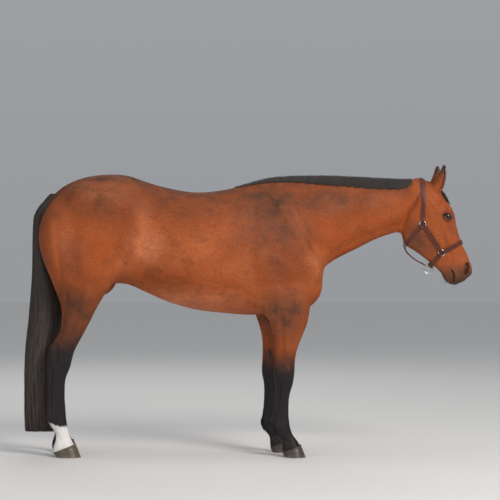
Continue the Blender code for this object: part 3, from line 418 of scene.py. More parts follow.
def ellipsoid(name, centre, radii, lean, sides=24):
    bm = bmesh.new()
    place = Matrix.Translation(centre) @ Matrix.Rotation(math.radians(lean), 4, "Y")
    size = Matrix.Diagonal((*radii, 1.0))
    bmesh.ops.create_uvsphere(bm, u_segments=sides, v_segments=sides // 2, radius=1.0, matrix=place @ size)
    return from_bmesh(name, bm)


def joined(name, objects):
    """One object with the meshes of all, which it replaces. Their materials stay where they are."""
    bm = bmesh.new()
    for obj in objects:
        bm.from_mesh(obj.data)
        bpy.data.objects.remove(obj)
    return from_bmesh(name, bm)


def smoothed(obj):
    obj.data.polygons.foreach_set("use_smooth", np.ones(len(obj.data.polygons), bool))
    return obj


def freeze(obj):
    """Makes the object's modified mesh its own."""
    bpy.context.view_layer.update()
    graph = bpy.context.evaluated_depsgraph_get()
    mesh = bpy.data.meshes.new_from_object(obj.evaluated_get(graph))
    obj.modifiers.clear()
    obj.data = mesh
    return obj


def remeshed(obj, voxel):
    modifier = obj.modifiers.new("Remesh", "REMESH")
    modifier.mode = "VOXEL"
    modifier.voxel_size = voxel
    modifier.use_smooth_shade = True
    return freeze(obj)


def read(items, what, width, kind=float):
    """A property of all a mesh's vertices, edges or faces, as an array."""
    values = np.empty(len(items) * width, np.float32 if kind is float else np.int32)
    items.foreach_get(what, values)
    values = values.astype(kind)
    return values.reshape(-1, width) if width > 1 else values


def write_places(mesh, places):
    mesh.vertices.foreach_set("co", np.asarray(places, np.float32).ravel())
    mesh.update()


def pulls_of(mesh):
    """A function from places to the pull of each vertex towards the middle of its neighbours."""
    ends = read(mesh.edges, "vertices", 2, int)
    count = len(mesh.vertices)
    here = np.concatenate([ends[:, 1], ends[:, 0]])
    there = np.concatenate([ends[:, 0], ends[:, 1]])
    share = 1.0 / np.maximum(np.bincount(here, minlength=count), 1)

    def pull(values):
        total = [np.bincount(here, values[there, k], count) for k in range(values.shape[1])]
        return np.stack(total, axis=1) * share[:, None] - values

    return pull


def relax(obj, rounds, convex=0.06):
    """Rounds the creases where fused masses meet, as skin does, and leaves ridges nearly as they are."""
    mesh = obj.data
    place = read(mesh.vertices, "co", 3)
    pull_of = pulls_of(mesh)
    for _ in range(rounds):
        write_places(mesh, place)
        normal = read(mesh.vertex_normals, "vector", 3)
        pull = pull_of(place)
        outward = (pull * normal).sum(axis=1)
        place += pull * np.where(outward > 0, PULL, PULL * convex)[:, None]
    write_places(mesh, place)
    return obj


def soften(obj, share, rounds):
    """Evens out a mesh where `share` is above 0."""
    pull_of = pulls_of(obj.data)
    place = read(obj.data.vertices, "co", 3)
    for _ in range(rounds):
        place += pull_of(place) * (PULL * share)[:, None]
    write_places(obj.data, place)


def surface_tree(obj):
    bm = bmesh.new()
    bm.from_mesh(obj.data)
    tree = BVHTree.FromBMesh(bm)
    bm.free()
    return tree


def hit_from_outside(tree, centre, direction):
    """The outermost point of the flesh that lies this way from the centre."""
    direction = Vector(direction).normalized()
    place, _, _, _ = tree.ray_cast(Vector(centre) + direction * OUTSIDE, -direction)
    return np.array(place)


# ---------------------------------------------------------------- the flesh, as in the solids
def trunk_rings():
    rings = []
    for x, top, wide, bottom, half, power_up, power_down in fill_in(TRUNK, 70):
        across, up = oval(RING_SIDES, power_up, power_down)
        z = wide + np.where(up > 0, (top - wide) * up, (wide - bottom) * up)
        rings.append(np.stack([np.full_like(z, x), half * across, z], axis=1))
    return rings


def neck_rings():
    rings = []
    for row in fill_in(NECK, 50):
        top, bottom = row[:2], row[2:4]
        half, level, power_up, power_down = row[4:]
        across, up = oval(RING_SIDES, power_up, power_down)
        share = level + np.where(up > 0, (1 - level) * up, level * up)
        place = bottom + share[:, None] * (top - bottom)
        rings.append(np.stack([place[:, 0], half * across, place[:, 1]], axis=1))
    return rings


def head_point(s, f, y):
    """A point of the head from its own axes."""
    place = POLL + np.multiply.outer(s, FACE_DOWN) + np.multiply.outer(f, FACE_OUT)
    place[..., 1] = y
    return place


def head_rings():
    rings = []
    for s, front, *half, back in fill_in(HEAD, 60):
        corners = list(zip(half[0::2], half[1::2]))
        right = [(0.0, front), *corners, (0.0, back)]
        left = [(-w, f) for w, f in reversed(corners)]
        curve = closed_curve(np.array(right + left), RING_SIDES)
        rings.append(head_point(s, curve[:, 1], curve[:, 0]))
    return rings


def leg_rings(rows, side, back):
    """A leg's loft. side is -1 for the right leg, and back moves the whole leg towards the tail."""
    rings = []
    for z, x_back, x_front, y_in, y_out, taper in fill_in(rows, 90):
        across, along = oval(RING_SIDES, 2.2, 2.2)
        x = (x_front + x_back) / 2 - back + along * (x_front - x_back) / 2
        half = (y_out - y_in) / 2 * (1 + taper * along)
        y = side * ((y_in + y_out) / 2 + across * half)
        rings.append(np.stack([x, y, np.full_like(x, z)], axis=1))
    return rings


def whole_flesh():
    masses = [
        loft("trunk_loft", trunk_rings()),
        loft("neck_loft", neck_rings()),
        loft("head_loft", head_rings()),
    ]
    for side in (-1, 1):
        masses.append(loft("foreleg_loft", leg_rings(FORELEG, side, LEFT_FORE_BACK * (side > 0))))
        masses.append(loft("hindleg_loft", leg_rings(HINDLEG, side, LEFT_HIND_BACK * (side > 0))))
        for name, (x, y, z), radii, lean in MUSCLES:
            masses.append(ellipsoid(name, (x, side * y, z), radii, lean))
        for name, (s, y, f), radii in HEAD_MASSES:
            masses.append(ellipsoid(name, head_point(s, f, side * y), radii, FACE_LEAN))
    flesh = remeshed(joined("flesh", masses), CAD_VOXEL)
    return relax(relax(flesh, 60), 6, convex=1.0)


def ear_axes(side):
    """The base, the tip, which way it opens and across, of one ear."""
    turned = LEFT_EAR_TURNED if side > 0 else (0.0, 0.0, 0.0)
    mirror = np.array((1.0, side, 1.0))
    base, tip = np.array(EAR_BASE) * mirror, (np.array(EAR_TIP) + turned) * mirror
    axis = unit(tip - base)
    opens = np.array(EAR_OPENS) * mirror
    opens = unit(opens - axis * (opens @ axis))
    return base, tip, opens, np.cross(axis, opens)


def ear_rings(side):
    """A shell rolled round the ear's axis, open to the front and thin at its rim."""
    base, tip, opens, across = ear_axes(side)
    rings = []
    for share, half, depth, wall in fill_in(EAR, 34):
        turn = np.radians(np.linspace(-118, 118, 25))
        wall = max(wall, EAR_LEAST_WALL)
        out = np.stack([np.sin(turn) * half, -np.cos(turn) * depth], axis=1)
        inner = out[::-1] * np.maximum(1 - wall / np.array((half, depth)), 0.05)
        inner[:, 1] += 0.2 * wall
        curl = np.concatenate([out, inner])
        centre = base + (tip - base) * share + opens * EAR_BULGE * math.sin(math.pi * share)
        rings.append(centre + curl[:, :1] * across + curl[:, 1:] * opens)
    return rings


# ---------------------------------------------------------------- the fine skin
# The skin is remeshed in a stretched space, so that one mesh is finest on the head and fine on the legs.
HEAD_CENTRE = np.array((1.10, 0.0, 1.31))
HEAD_STRETCH = (0.50, 0.30)  # added radius, and the radius over which it comes in
LEG_STRETCH = 0.5
LEG_STRETCH_Z = (0.78, 0.60)
LEG_SPLIT = -0.35  # x between the forelegs and the hind legs in the stretch
LEG_MIDDLES = (0.21, -1.04)  # x of the forelegs and of the hind legs
SKIN_VOXEL = 0.0085
EAR_LEAST_WALL = 0.0078  # what the remesh needs
EAR_ROOT = (1.50, 1.53)  # heights between which the head becomes ear
EAR_BACK = 1.04  # an ear's x is more than this
EAR_FRONT = 0.10  # and its s less than this
EAR_REACH = 0.012  # how far the skin may be from the ear's own shape to be laid on it
COAT_DEPTH = 0.002
SHORT_COAT = 0.001  # how much less deep the coat is on the head, and on the legs

Z_TABLE = np.linspace(-0.05, 2.0, 4101)
LEG_SCALE = 1 + LEG_STRETCH * smooth(Z_TABLE, *LEG_STRETCH_Z)
Z_WARPED = np.concatenate([[0.0], np.cumsum((LEG_SCALE[1:] + LEG_SCALE[:-1]) / 2 * np.diff(Z_TABLE))])
R_TABLE = np.linspace(0.0, 4.0, 8001)
R_WARPED = R_TABLE + HEAD_STRETCH[0] * np.tanh(R_TABLE / HEAD_STRETCH[1])


def leg_middle(x):
    return np.where(x > LEG_SPLIT, *LEG_MIDDLES)


def stretched(p):
    scale = np.interp(p[:, 2], Z_TABLE, LEG_SCALE)
    middle = leg_middle(p[:, 0])
    x, y = middle + (p[:, 0] - middle) * scale, p[:, 1] * scale
    q = np.stack([x, y, np.interp(p[:, 2], Z_TABLE, Z_WARPED)], axis=1) - HEAD_CENTRE
    r = np.linalg.norm(q, axis=1)
    return q * (np.interp(r, R_TABLE, R_WARPED) / np.maximum(r, 1e-9))[:, None]


def unstretched(p):
    r = np.linalg.norm(p, axis=1)
    q = p * (np.interp(r, R_WARPED, R_TABLE) / np.maximum(r, 1e-9))[:, None] + HEAD_CENTRE
    z = np.interp(q[:, 2], Z_WARPED, Z_TABLE)
    scale = np.interp(z, Z_TABLE, LEG_SCALE)
    middle = leg_middle(q[:, 0])
    return np.stack([middle + (q[:, 0] - middle) / scale, q[:, 1] / scale, z], axis=1)


def fine_skin(flesh):
    """One skin over the flesh and the ears, inside the solids by the coat's depth."""
    ears = joined("ears", [loft("ear_shell", ear_rings(side)) for side in (-1, 1)])
    tree = surface_tree(ears)
    skin = joined("skin", [new_object("skin_base", flesh.data.copy()), ears])
    write_places(skin.data, stretched(read(skin.data.vertices, "co", 3)))
    remeshed(skin, SKIN_VOXEL)
    write_places(skin.data, unstretched(read(skin.data.vertices, "co", 3)))
    relax(skin, 5, convex=1.0)
    places = read(skin.data.vertices, "co", 3)
    share = smooth(places[:, 2], *EAR_ROOT) * (places[:, 0] > EAR_BACK)
    share = share * (head_axes(places)[:, 0] < EAR_FRONT)
    for k in np.flatnonzero(share > 0):
        near, _, _, away = tree.find_nearest(Vector(places[k]))
        if away < EAR_REACH:
            places[k] += (np.array(near) - places[k]) * share[k]
    write_places(skin.data, places)
    soften(skin, share, 5)
    places = read(skin.data.vertices, "co", 3)
    for side in (-1, 1):
        base, tip, _, _ = ear_axes(side)
        mine = np.flatnonzero((share > 0) & (places[:, 1] * side > 0))
        along = (places[mine] - base) @ unit(tip - base)
        missing = np.linalg.norm(tip - base) - along.max()
        growth = missing / along.max() * smooth(along, 0.4 * along.max(), along.max())
        places[mine] += (tip - base) * growth[:, None]
    write_places(skin.data, places)
    return skin


# ---------------------------------------------------------------- relief of the skin
# Lines of the side view that stand out of the skin, or sink into it where the height is negative:
# points, half width, height. Those of the head are in its own s and f, those of the body in x and z.
JAW_LINE = ((0.090, -0.046), (0.130, -0.086), (0.160, -0.134), (0.200, -0.180), (0.240, -0.222))
HEAD_LINES = (
    (((0.275, 0.020), (0.330, 0.012), (0.400, 0.010), (0.440, 0.010)), 0.008, 0.0044),  # facial crest
    (((0.290, -0.016), (0.360, -0.018), (0.440, -0.006)), 0.014, -0.0026),
    (((0.320, 0.046), (0.420, 0.050), (0.520, 0.058)), 0.012, -0.0026),  # beside the nasal bone
    (((0.350, 0.030), (0.372, 0.000), (0.366, -0.050), (0.345, -0.110), (0.338, -0.160)), 0.0040, 0.0018),
    (((0.352, 0.028), (0.430, 0.030), (0.500, 0.036)), 0.0036, 0.0017),  # nasal vein
    (((0.280, 0.000), (0.318, -0.050), (0.338, -0.100), (0.330, -0.150)), 0.016, -0.0032),  # masseter's front
    (JAW_LINE, 0.011, -0.0130),
    (((0.100, -0.024), (0.147, -0.060), (0.187, -0.112), (0.235, -0.166)), 0.018, 0.0050),  # jaw's back edge
    (((0.420, -0.014), (0.480, -0.010), (0.550, -0.022)), 0.012, -0.0024),
    (((0.430, 0.014), (0.490, 0.012), (0.550, 0.000)), 0.012, 0.0020),
    (((0.120, -0.014), (0.190, 0.004), (0.240, 0.014)), 0.009, 0.0026),  # zygomatic arch
    (((0.204, 0.040), (0.220, 0.054), (0.236, 0.070)), 0.0026, -0.0022),  # wrinkles over the eye
    (((0.212, 0.030), (0.228, 0.046), (0.243, 0.060)), 0.0032, 0.0016),
    (((0.194, 0.044), (0.209, 0.060), (0.224, 0.076)), 0.0036, 0.0016),
    (((0.594, -0.0640), (0.608, -0.0630), (0.626, -0.0590)), 0.0045, -0.0030),  # under the lower lip
    (((0.548, -0.056), (0.556, -0.040), (0.568, -0.024)), 0.0030, -0.0016),  # behind the mouth's corner
    (((0.538, -0.058), (0.546, -0.040), (0.560, -0.020)), 0.0032, -0.0012),
    (((0.540, 0.022), (0.560, 0.010), (0.585, 0.000), (0.615, 0.000)), 0.0065, -0.0026),  # round the nostril
)
MOUTH = (
    (0.561, -0.038),
    (0.570, -0.033),
    (0.579, -0.0316),
    (0.600, -0.0346),
    (0.624, -0.0465),
    (0.655, -0.0570),
)
MOUTH_WIDTH, MOUTH_DEPTH, LIP_SWELL = 0.0028, 0.0085, 0.0030
NOSTRIL_OUTLINE = (
    (0.551, 0.059),
    (0.559, 0.042),
    (0.578, 0.030),
    (0.603, 0.021),
    (0.627, 0.022),
    (0.621, 0.039),
    (0.605, 0.057),
    (0.585, 0.069),
    (0.563, 0.073),
)
NOSTRIL_DEEP = (
    (0.559, 0.063),
    (0.566, 0.049),
    (0.583, 0.037),
    (0.604, 0.027),
    (0.619, 0.028),
    (0.612, 0.042),
    (0.598, 0.056),
    (0.581, 0.066),
    (0.567, 0.070),
)
NOSTRIL_DEPTH, NOSTRIL_HOLLOW, NOSTRIL_RIM = 0.019, 0.0075, 0.0036
EYE_OUTLINE = (
    (-0.0174, -0.0174),
    (-0.0198, -0.0105),
    (-0.0191, -0.0011),
    (-0.0143, 0.0094),
    (-0.0044, 0.0174),
    (0.0075, 0.0189),
    (0.0165, 0.0149),
    (0.0211, 0.0075),
    (0.0194, 0.0002),
    (0.0110, -0.0066),
    (0.0000, -0.0123),
    (-0.0099, -0.0167),
)
LID_LIFT = 0.0024  # of the lids over the eyeball
LID_OPENING = 0.011  # how far behind the lids the skin lies between them
LEG_COMES_FREE = (1.02, 0.86)  # heights over which a leg parts from the trunk
BREAST_GROOVE, BREAST_SWELL = 0.0130, 0.0060
BODY_LINES = (
    (((0.110, 1.540), (0.260, 1.280), (0.400, 1.060)), 0.032, 0.0036),  # spine of the shoulder blade
    (((0.230, 1.480), (0.300, 1.320), (0.375, 1.210), (0.440, 1.090)), 0.024, -0.0086),  # by the shoulder
    (((0.060, 1.460), (0.020, 1.220), (0.030, 1.050), (0.100, 0.880)), 0.040, -0.0066),  # behind the triceps
    (((0.060, 1.200), (0.200, 1.130), (0.340, 1.040)), 0.026, -0.0030),
    (((0.060, 0.975), (0.180, 0.960), (0.340, 1.000)), 0.026, -0.0040),
    (((0.930, 1.315), (0.780, 1.278), (0.620, 1.215), (0.450, 1.130)), 0.020, -0.0056),  # jugular groove
    (((0.920, 1.355), (0.760, 1.330), (0.600, 1.280), (0.430, 1.200)), 0.030, 0.0036),
    (((0.900, 1.475), (0.640, 1.440), (0.420, 1.430), (0.250, 1.480)), 0.036, -0.0036),
    (((-0.790, 0.980), (-0.700, 1.050), (-0.620, 1.160), (-0.590, 1.280)), 0.034, 0.0036),  # flank fold
    (((-0.650, 0.980), (-0.590, 1.110), (-0.550, 1.260)), 0.036, -0.0050),
    (((-0.510, 1.450), (-0.540, 1.260), (-0.450, 1.040)), 0.026, -0.0020),  # last rib
    (((-1.070, 1.400), (-1.058, 1.180), (-1.042, 1.040), (-1.030, 0.900)), 0.022, -0.0052),
    (((-0.770, 1.470), (-0.850, 1.250), (-0.880, 1.040)), 0.034, -0.0036),
    (((-0.960, 1.380), (-0.960, 1.150), (-0.930, 0.940)), 0.030, -0.0026),
    (((-1.000, 0.960), (-1.030, 0.800), (-1.058, 0.660)), 0.013, -0.0085),  # ahead of the hamstring tendon
    (((-0.920, 0.960), (-0.955, 0.790), (-0.990, 0.660)), 0.015, -0.0046),
    (((0.190, 0.820), (0.200, 0.680), (0.200, 0.540)), 0.013, -0.0052),  # forearm muscles
    (((0.270, 0.800), (0.256, 0.680), (0.238, 0.540)), 0.012, -0.0042),
    (((0.189, 0.445), (0.184, 0.377), (0.168, 0.225)), 0.0075, -0.0064),  # ahead of the flexor tendons
    (((-1.092, 0.550), (-1.100, 0.390), (-1.103, 0.225)), 0.0075, -0.0064),
    (((0.160, 0.165), (0.200, 0.105), (0.230, 0.072)), 0.0080, -0.0020),  # pasterns
    (((-1.085, 0.155), (-1.050, 0.105), (-1.025, 0.076)), 0.0080, -0.0020),
    (((-1.072, 0.650), (-1.064, 0.570), (-1.072, 0.500)), 0.010, -0.0056),  # hock
    (((0.200, 0.520), (0.240, 0.480), (0.205, 0.425)), 0.012, 0.0022),  # knee
)
# Bumps and hollows, round in the side view: x, z, radius, height.
BODY_SPOTS = (
    (-0.600, 1.375, 0.070, -0.0080),  # hollow of the flank
    (-0.665, 1.432, 0.040, 0.0050),  # point of the hip
    (-0.830, 1.030, 0.038, 0.0045),  # stifle
    (0.118, 0.850, 0.028, 0.0030),  # elbow
    (0.385, 1.080, 0.045, 0.0040),  # point of the shoulder
    (0.200, 0.480, 0.022, 0.0034),  # knee
    (0.238, 0.482, 0.018, 0.0030),
    (0.166, 0.478, 0.014, 0.0036),
    (0.214, 0.432, 0.014, 0.0024),
    (-1.030, 0.598, 0.022, 0.0046),  # hock
    (-1.108, 0.616, 0.020, 0.0036),
    (-1.040, 0.530, 0.018, 0.0034),
    (0.190, 0.172, 0.020, 0.0036),  # fetlocks
    (0.162, 0.178, 0.012, 0.0030),
    (-1.052, 0.180, 0.020, 0.0036),
    (-1.092, 0.190, 0.013, 0.0030),
    (0.235, 0.100, 0.016, -0.0022),
    (-1.018, 0.108, 0.016, -0.0022),
)
HEAD_SPOTS = (
    (0.196, 0.052, 0.020, -0.0065),  # hollow over the eye
    (0.236, 0.020, 0.012, 0.0015),
    (0.040, -0.030, 0.020, -0.0030),
)


def head_axes(p):
    """s down the face and f out of it, of points."""
    flat = p[:, [0, 2]] - POLL[[0, 2]]
    return np.stack([flat @ FACE_DOWN[[0, 2]], flat @ FACE_OUT[[0, 2]]], axis=1)


def to_line(points, path):
    """How far each point of a plane is from a smooth line, and at what share of its length it is nearest."""
    path = fill_in(path, 6 * len(path))
    best, share = np.full(len(points), np.inf), np.zeros(len(points))
    for k, (a, b) in enumerate(zip(path, path[1:])):
        run = b - a
        t = np.clip((points - a) @ run / (run @ run), 0.0, 1.0)
        away = np.linalg.norm(points - a - t[:, None] * run, axis=1)
        share = np.where(away < best, (k + t) / (len(path) - 1), share)
        best = np.minimum(best, away)
    return best, share


def to_outline(points, outline):
    """How far each point of a plane is outside a smooth closed outline, negative inside it."""
    ring = closed_curve(np.array(outline), 48)
    best = np.full(len(points), np.inf)
    inside = np.zeros(len(points), bool)
    for a, b in zip(ring, np.roll(ring, -1, axis=0)):
        run = b - a
        t = np.clip((points - a) @ run / (run @ run), 0.0, 1.0)
        best = np.minimum(best, np.linalg.norm(points - a - t[:, None] * run, axis=1))
        crosses = (a[1] > points[:, 1]) != (b[1] > points[:, 1])
        with np.errstate(divide="ignore", invalid="ignore"):
            inside ^= crosses & (points[:, 0] < a[0] + (points[:, 1] - a[1]) * run[0] / run[1])
    return np.where(inside, -best, best)


def as_right_leg(p):
    """x and z of points, those of a left leg moved to where the right one stands."""
    low = smooth(p[:, 2], *LEG_COMES_FREE)
    shift = np.where(p[:, 0] > -0.3, LEFT_FORE_BACK, LEFT_HIND_BACK)
    return np.stack([p[:, 0] + np.where(p[:, 1] > 0, shift, 0.0) * low, p[:, 2]], axis=1)


def add_lines(height, points, weight, lines):
    """Adds folds and bones along paths to the height of the skin."""
    for path, width, rise in lines:
        corners = np.array(path)
        low, high = corners.min(axis=0) - 3 * width, corners.max(axis=0) + 3 * width
        near = np.flatnonzero(((points > low) & (points < high)).all(axis=1) & (weight > 0))
        away, share = to_line(points[near], path)
        fade = smooth(share, -0.05, 0.30) * smooth(share, 1.05, 0.70)
        height[near] += rise * bell(away, width) * fade * weight[near]


def add_spots(height, points, weight, spots):
    """Adds round rises and hollows to the height of the skin."""
    for x, z, radius, rise in spots:
        height += rise * bell(np.linalg.norm(points - (x, z), axis=1), radius) * weight


def in_head(p):
    (x, _, z), (nx, _, nz) = HEAD_PLANE
    return (p[:, 0] - x) * nx + (p[:, 2] - z) * nz


def eye_centre(side):
    s, y, f = EYE
    return head_point(s, f, side * y)


def eye_frame(places, side):
    """Each place's radius and direction from the eye's centre, its offset there along s and f, and how
    far outside the lids' edge that is."""
    away = places - eye_centre(side)
    radius = np.linalg.norm(away, axis=1)
    way = away / np.maximum(radius, 1e-9)[:, None]
    seen = np.stack([way @ FACE_DOWN, way @ FACE_OUT], axis=1) * np.maximum(radius, EYE_RADIUS)[:, None]
    return radius, way, seen, to_outline(seen, EYE_OUTLINE)


def refine(skin, centres):
    """Splits the faces within a radius of each centre into four."""
    bm = bmesh.new()
    bm.from_mesh(skin.data)
    middles = [(edge, (edge.verts[0].co + edge.verts[1].co) / 2) for edge in bm.edges]
    near = [edge for edge, middle in middles if any((middle - c).length < r for c, r in centres)]
    bmesh.ops.subdivide_edges(bm, edges=near, cuts=1, use_grid_fill=True, smooth=0.0)
    bm.to_mesh(skin.data)
    bm.free()
    smoothed(skin)


def sculpt(skin):
    """Sinks the skin by the coat's depth, and gives it its relief."""
    mesh = skin.data
    place = read(mesh.vertices, "co", 3)
    normal = read(mesh.vertex_normals, "vector", 3)
    axes, flat = head_axes(place), as_right_leg(place)
    side_on = smooth(np.abs(normal[:, 1]), 0.15, 0.65)
    head = smooth(in_head(place), -0.04, 0.01)
    short = smooth(in_head(place), 0.0, 0.05) + smooth(place[:, 2], 0.60, 0.45)
    height = SHORT_COAT * short - COAT_DEPTH
    add_lines(height, axes, side_on * head, HEAD_LINES)
    add_spots(height, axes, side_on * head, HEAD_SPOTS)
    add_lines(height, flat, side_on * (1 - smooth(in_head(place), -0.02, 0.0)), BODY_LINES)
    add_spots(height, flat, side_on * (1 - head), BODY_SPOTS)
    muzzle = smooth(axes[:, 0], 0.50, 0.55) * head
    gap = np.full(len(place), 1.0)
    near = muzzle > 0
    gap[near] = to_line(axes[near], MOUTH)[0]
    front = 1 - 0.55 * smooth(axes[:, 0], 0.622, 0.646)
    height -= MOUTH_DEPTH * bell(gap, MOUTH_WIDTH) * muzzle * front
    height += LIP_SWELL * bell(gap - 0.010, 0.007) * muzzle * front
    breast = smooth(normal[:, 0], 0.25, 0.70)
    breast = breast * smooth(place[:, 2], 0.84, 0.92) * smooth(place[:, 2], 1.26, 1.10)
    breast *= place[:, 0] > 0.25
    across = np.abs(place[:, 1])
    height -= BREAST_GROOVE * bell(across, 0.016) * breast
    height += BREAST_SWELL * bell(across - 0.062, 0.040) * breast
    place = place + normal * height[:, None]
    for side in (-1, 1):
        place = open_nostril(place, axes, normal, side)
        place = fit_lids(place, side)
    write_places(mesh, place)
    soften(skin, smooth(axes[:, 0], 0.612, 0.640) * head, 3)


def open_nostril(place, axes, normal, side):
    """Pushes the nostril in, up the nose, and raises its rim."""
    near = np.flatnonzero((axes[:, 0] > 0.52) & (place[:, 1] * side > 0.012) & (axes[:, 1] > 0.0))
    away = to_outline(axes[near], NOSTRIL_OUTLINE)
    inwards = unit(-0.35 * FACE_DOWN + (0.0, -0.85 * side, 0.0))
    sink = NOSTRIL_HOLLOW * smooth(-away, -0.0010, 0.0100)
    sink += NOSTRIL_DEPTH * smooth(-to_outline(axes[near], NOSTRIL_DEEP), -0.0015, 0.0050)
    rim = NOSTRIL_RIM * bell(away - 0.0030, 0.0040)
    place = place.copy()
    place[near] += inwards * sink[:, None] + normal[near] * rim[:, None]
    return place


def fit_lids(place, side):
    """Lays the lids round the eyeball, folds them, and clears the opening between them."""
    near = np.flatnonzero(np.linalg.norm(place - eye_centre(side), axis=1) < 0.055)
    near = near[place[near, 1] * side > EYE[1] - 0.010]
    radius, way, seen, away = eye_frame(place[near], side)
    lid = EYE_RADIUS + LID_LIFT + 0.0012 * smooth(away, 0.0, 0.004)
    upper = smooth(-seen[:, 0], -0.006, 0.010)
    fold = bell(away - 0.0085, 0.0022) * (0.0022 * upper + 0.0010)
    swell = bell(away - 0.0045, 0.0030) * (0.0010 + 0.0010 * upper)
    hold = 1 - smooth(away, 0.004, 0.020)
    behind = EYE_RADIUS + LID_LIFT - LID_OPENING * smooth(-away, 0.0, 0.0028)
    target = np.where(away > 0, radius + (lid - radius) * hold + swell - fold, behind)
    place = place.copy()
    place[near] += way * (target - radius)[:, None]
    return place


# ---------------------------------------------------------------- colours
BAY = (0.375, 0.075, 0.0120)
BAY_DARK = (0.098, 0.042, 0.024)
# Paler bay: the colour of the painted sheen, and of the random lighter clouds in the coat.
BAY_PALE_AND_SHEEN = (0.760, 0.250, 0.110)
GREY_BROWN = (0.118, 0.050, 0.028)
BLACK_POINT = (0.021, 0.018, 0.018)
WHITE = (0.86, 0.83, 0.80)
HAIR_DARK = (0.018, 0.014, 0.012)
HAIR_LIGHT = (0.070, 0.052, 0.042)
BARE_SKIN = (0.020, 0.015, 0.014)
BARE_SKIN_LIGHT = (0.050, 0.036, 0.031)
HORN_DARK = ((0.046, 0.031, 0.021), (0.075, 0.060, 0.048))
HORN_PALE = ((0.085, 0.062, 0.042), (0.140, 0.108, 0.066))
HORN_DUST = (0.22, 0.18, 0.14)
LEATHER = (0.105, 0.020, 0.010)
LEATHER_DARK = (0.026, 0.007, 0.005)
THREAD, THREAD_DARK = (0.30, 0.19, 0.11), (0.16, 0.10, 0.06)
STEEL, STEEL_WORN = (0.66, 0.66, 0.65), (0.42, 0.40, 0.37)
IRIS, IRIS_DARK, PUPIL = (0.062, 0.024, 0.009), (0.010, 0.004, 0.002), (0.002, 0.002, 0.003)
IRIS_RIM, EYE_WHITE = (0.012, 0.007, 0.005), (0.060, 0.034, 0.026)
FLOOR, FLOOR_LIGHT = (0.74, 0.73, 0.71), (0.77, 0.76, 0.74)

# Heights over which the coat turns black, and where the white pastern ends.
FORELEG_BLACK, HINDLEG_BLACK, EAR_BLACK = (0.660, 0.410), (0.770, 0.530), (1.540, 1.640)
WHITE_TOP = (0.186, 0.172)

# Darker and paler patches of the coat in the side view: x, z, radius along x, along z, strength.
# The darker patches are the sooty colour of the coat together with painted shade in the creases and hollows
# of the body.
SOOTY_AND_SHADE_PATCHES = (
    (0.120, 1.440, 0.270, 0.170, 0.98),
    (0.140, 1.310, 0.210, 0.200, 0.82),
    (0.430, 1.450, 0.360, 0.100, 0.76),
    (0.350, 1.240, 0.045, 0.100, 0.60),
    (0.210, 1.130, 0.170, 0.200, 0.58),
    (-0.055, 1.200, 0.080, 0.090, 0.42),
    (-0.400, 1.470, 0.460, 0.130, 0.66),
    (-0.660, 1.400, 0.080, 0.170, 0.42),
    (-0.850, 1.440, 0.260, 0.140, 0.60),
    (-0.956, 1.080, 0.080, 0.220, 0.44),
    (-1.150, 1.100, 0.080, 0.360, 0.42),
    (0.215, 0.800, 0.130, 0.160, 1.00),
    (-0.965, 0.790, 0.210, 0.190, 0.98),
)
# The paler patches are painted sheen: painted highlights on the barrel, flank, croup, buttock, elbow,
# shoulder and forearm, and painted light along the belly.
PAINTED_SHEEN_PATCHES = (
    (-0.545, 1.180, 0.110, 0.100, 0.92),
    (-0.570, 1.290, 0.045, 0.110, 0.60),
    (-0.330, 1.160, 0.200, 0.110, 0.30),
    (-0.300, 0.880, 0.360, 0.070, 0.72),
    (-0.660, 1.080, 0.080, 0.120, 0.30),
    (-0.060, 1.060, 0.090, 0.110, 0.25),
    (-1.030, 1.200, 0.060, 0.150, 0.26),
    (-0.800, 1.500, 0.140, 0.080, 0.60),
    (0.215, 0.840, 0.100, 0.120, 0.35),
    (0.400, 1.060, 0.070, 0.120, 0.40),
)
GREY_PATCHES = (  # of the head, in s and f
    (0.330, -0.150, 0.095, 0.060, 0.92),
    (0.400, -0.100, 0.070, 0.045, 0.55),
    (0.330, 0.050, 0.060, 0.020, 0.35),
    (0.268, 0.056, 0.034, 0.036, 0.55),
)


def patches(points, table):
    total = np.zeros(len(points))
    for x, z, wide, tall, strength in table:
        away = ((points[:, 0] - x) / wide) ** 2 + ((points[:, 1] - z) / tall) ** 2
        total = np.maximum(total, strength * np.exp(-away))
    return total


def wobble(p, scale, seed=0.0):
    """A smooth field between about -1 and 1, from a few waves in unlike directions."""
    total = np.zeros(len(p))
    for k in range(6):
        turn = 2.4 * k + seed
        way = np.array((math.cos(turn), math.sin(1.7 * turn), math.sin(turn + 1.0)))
        total += np.sin(p @ way * scale * (1 + 0.35 * k) + 1.3 * k + seed)
    return total / 3.2


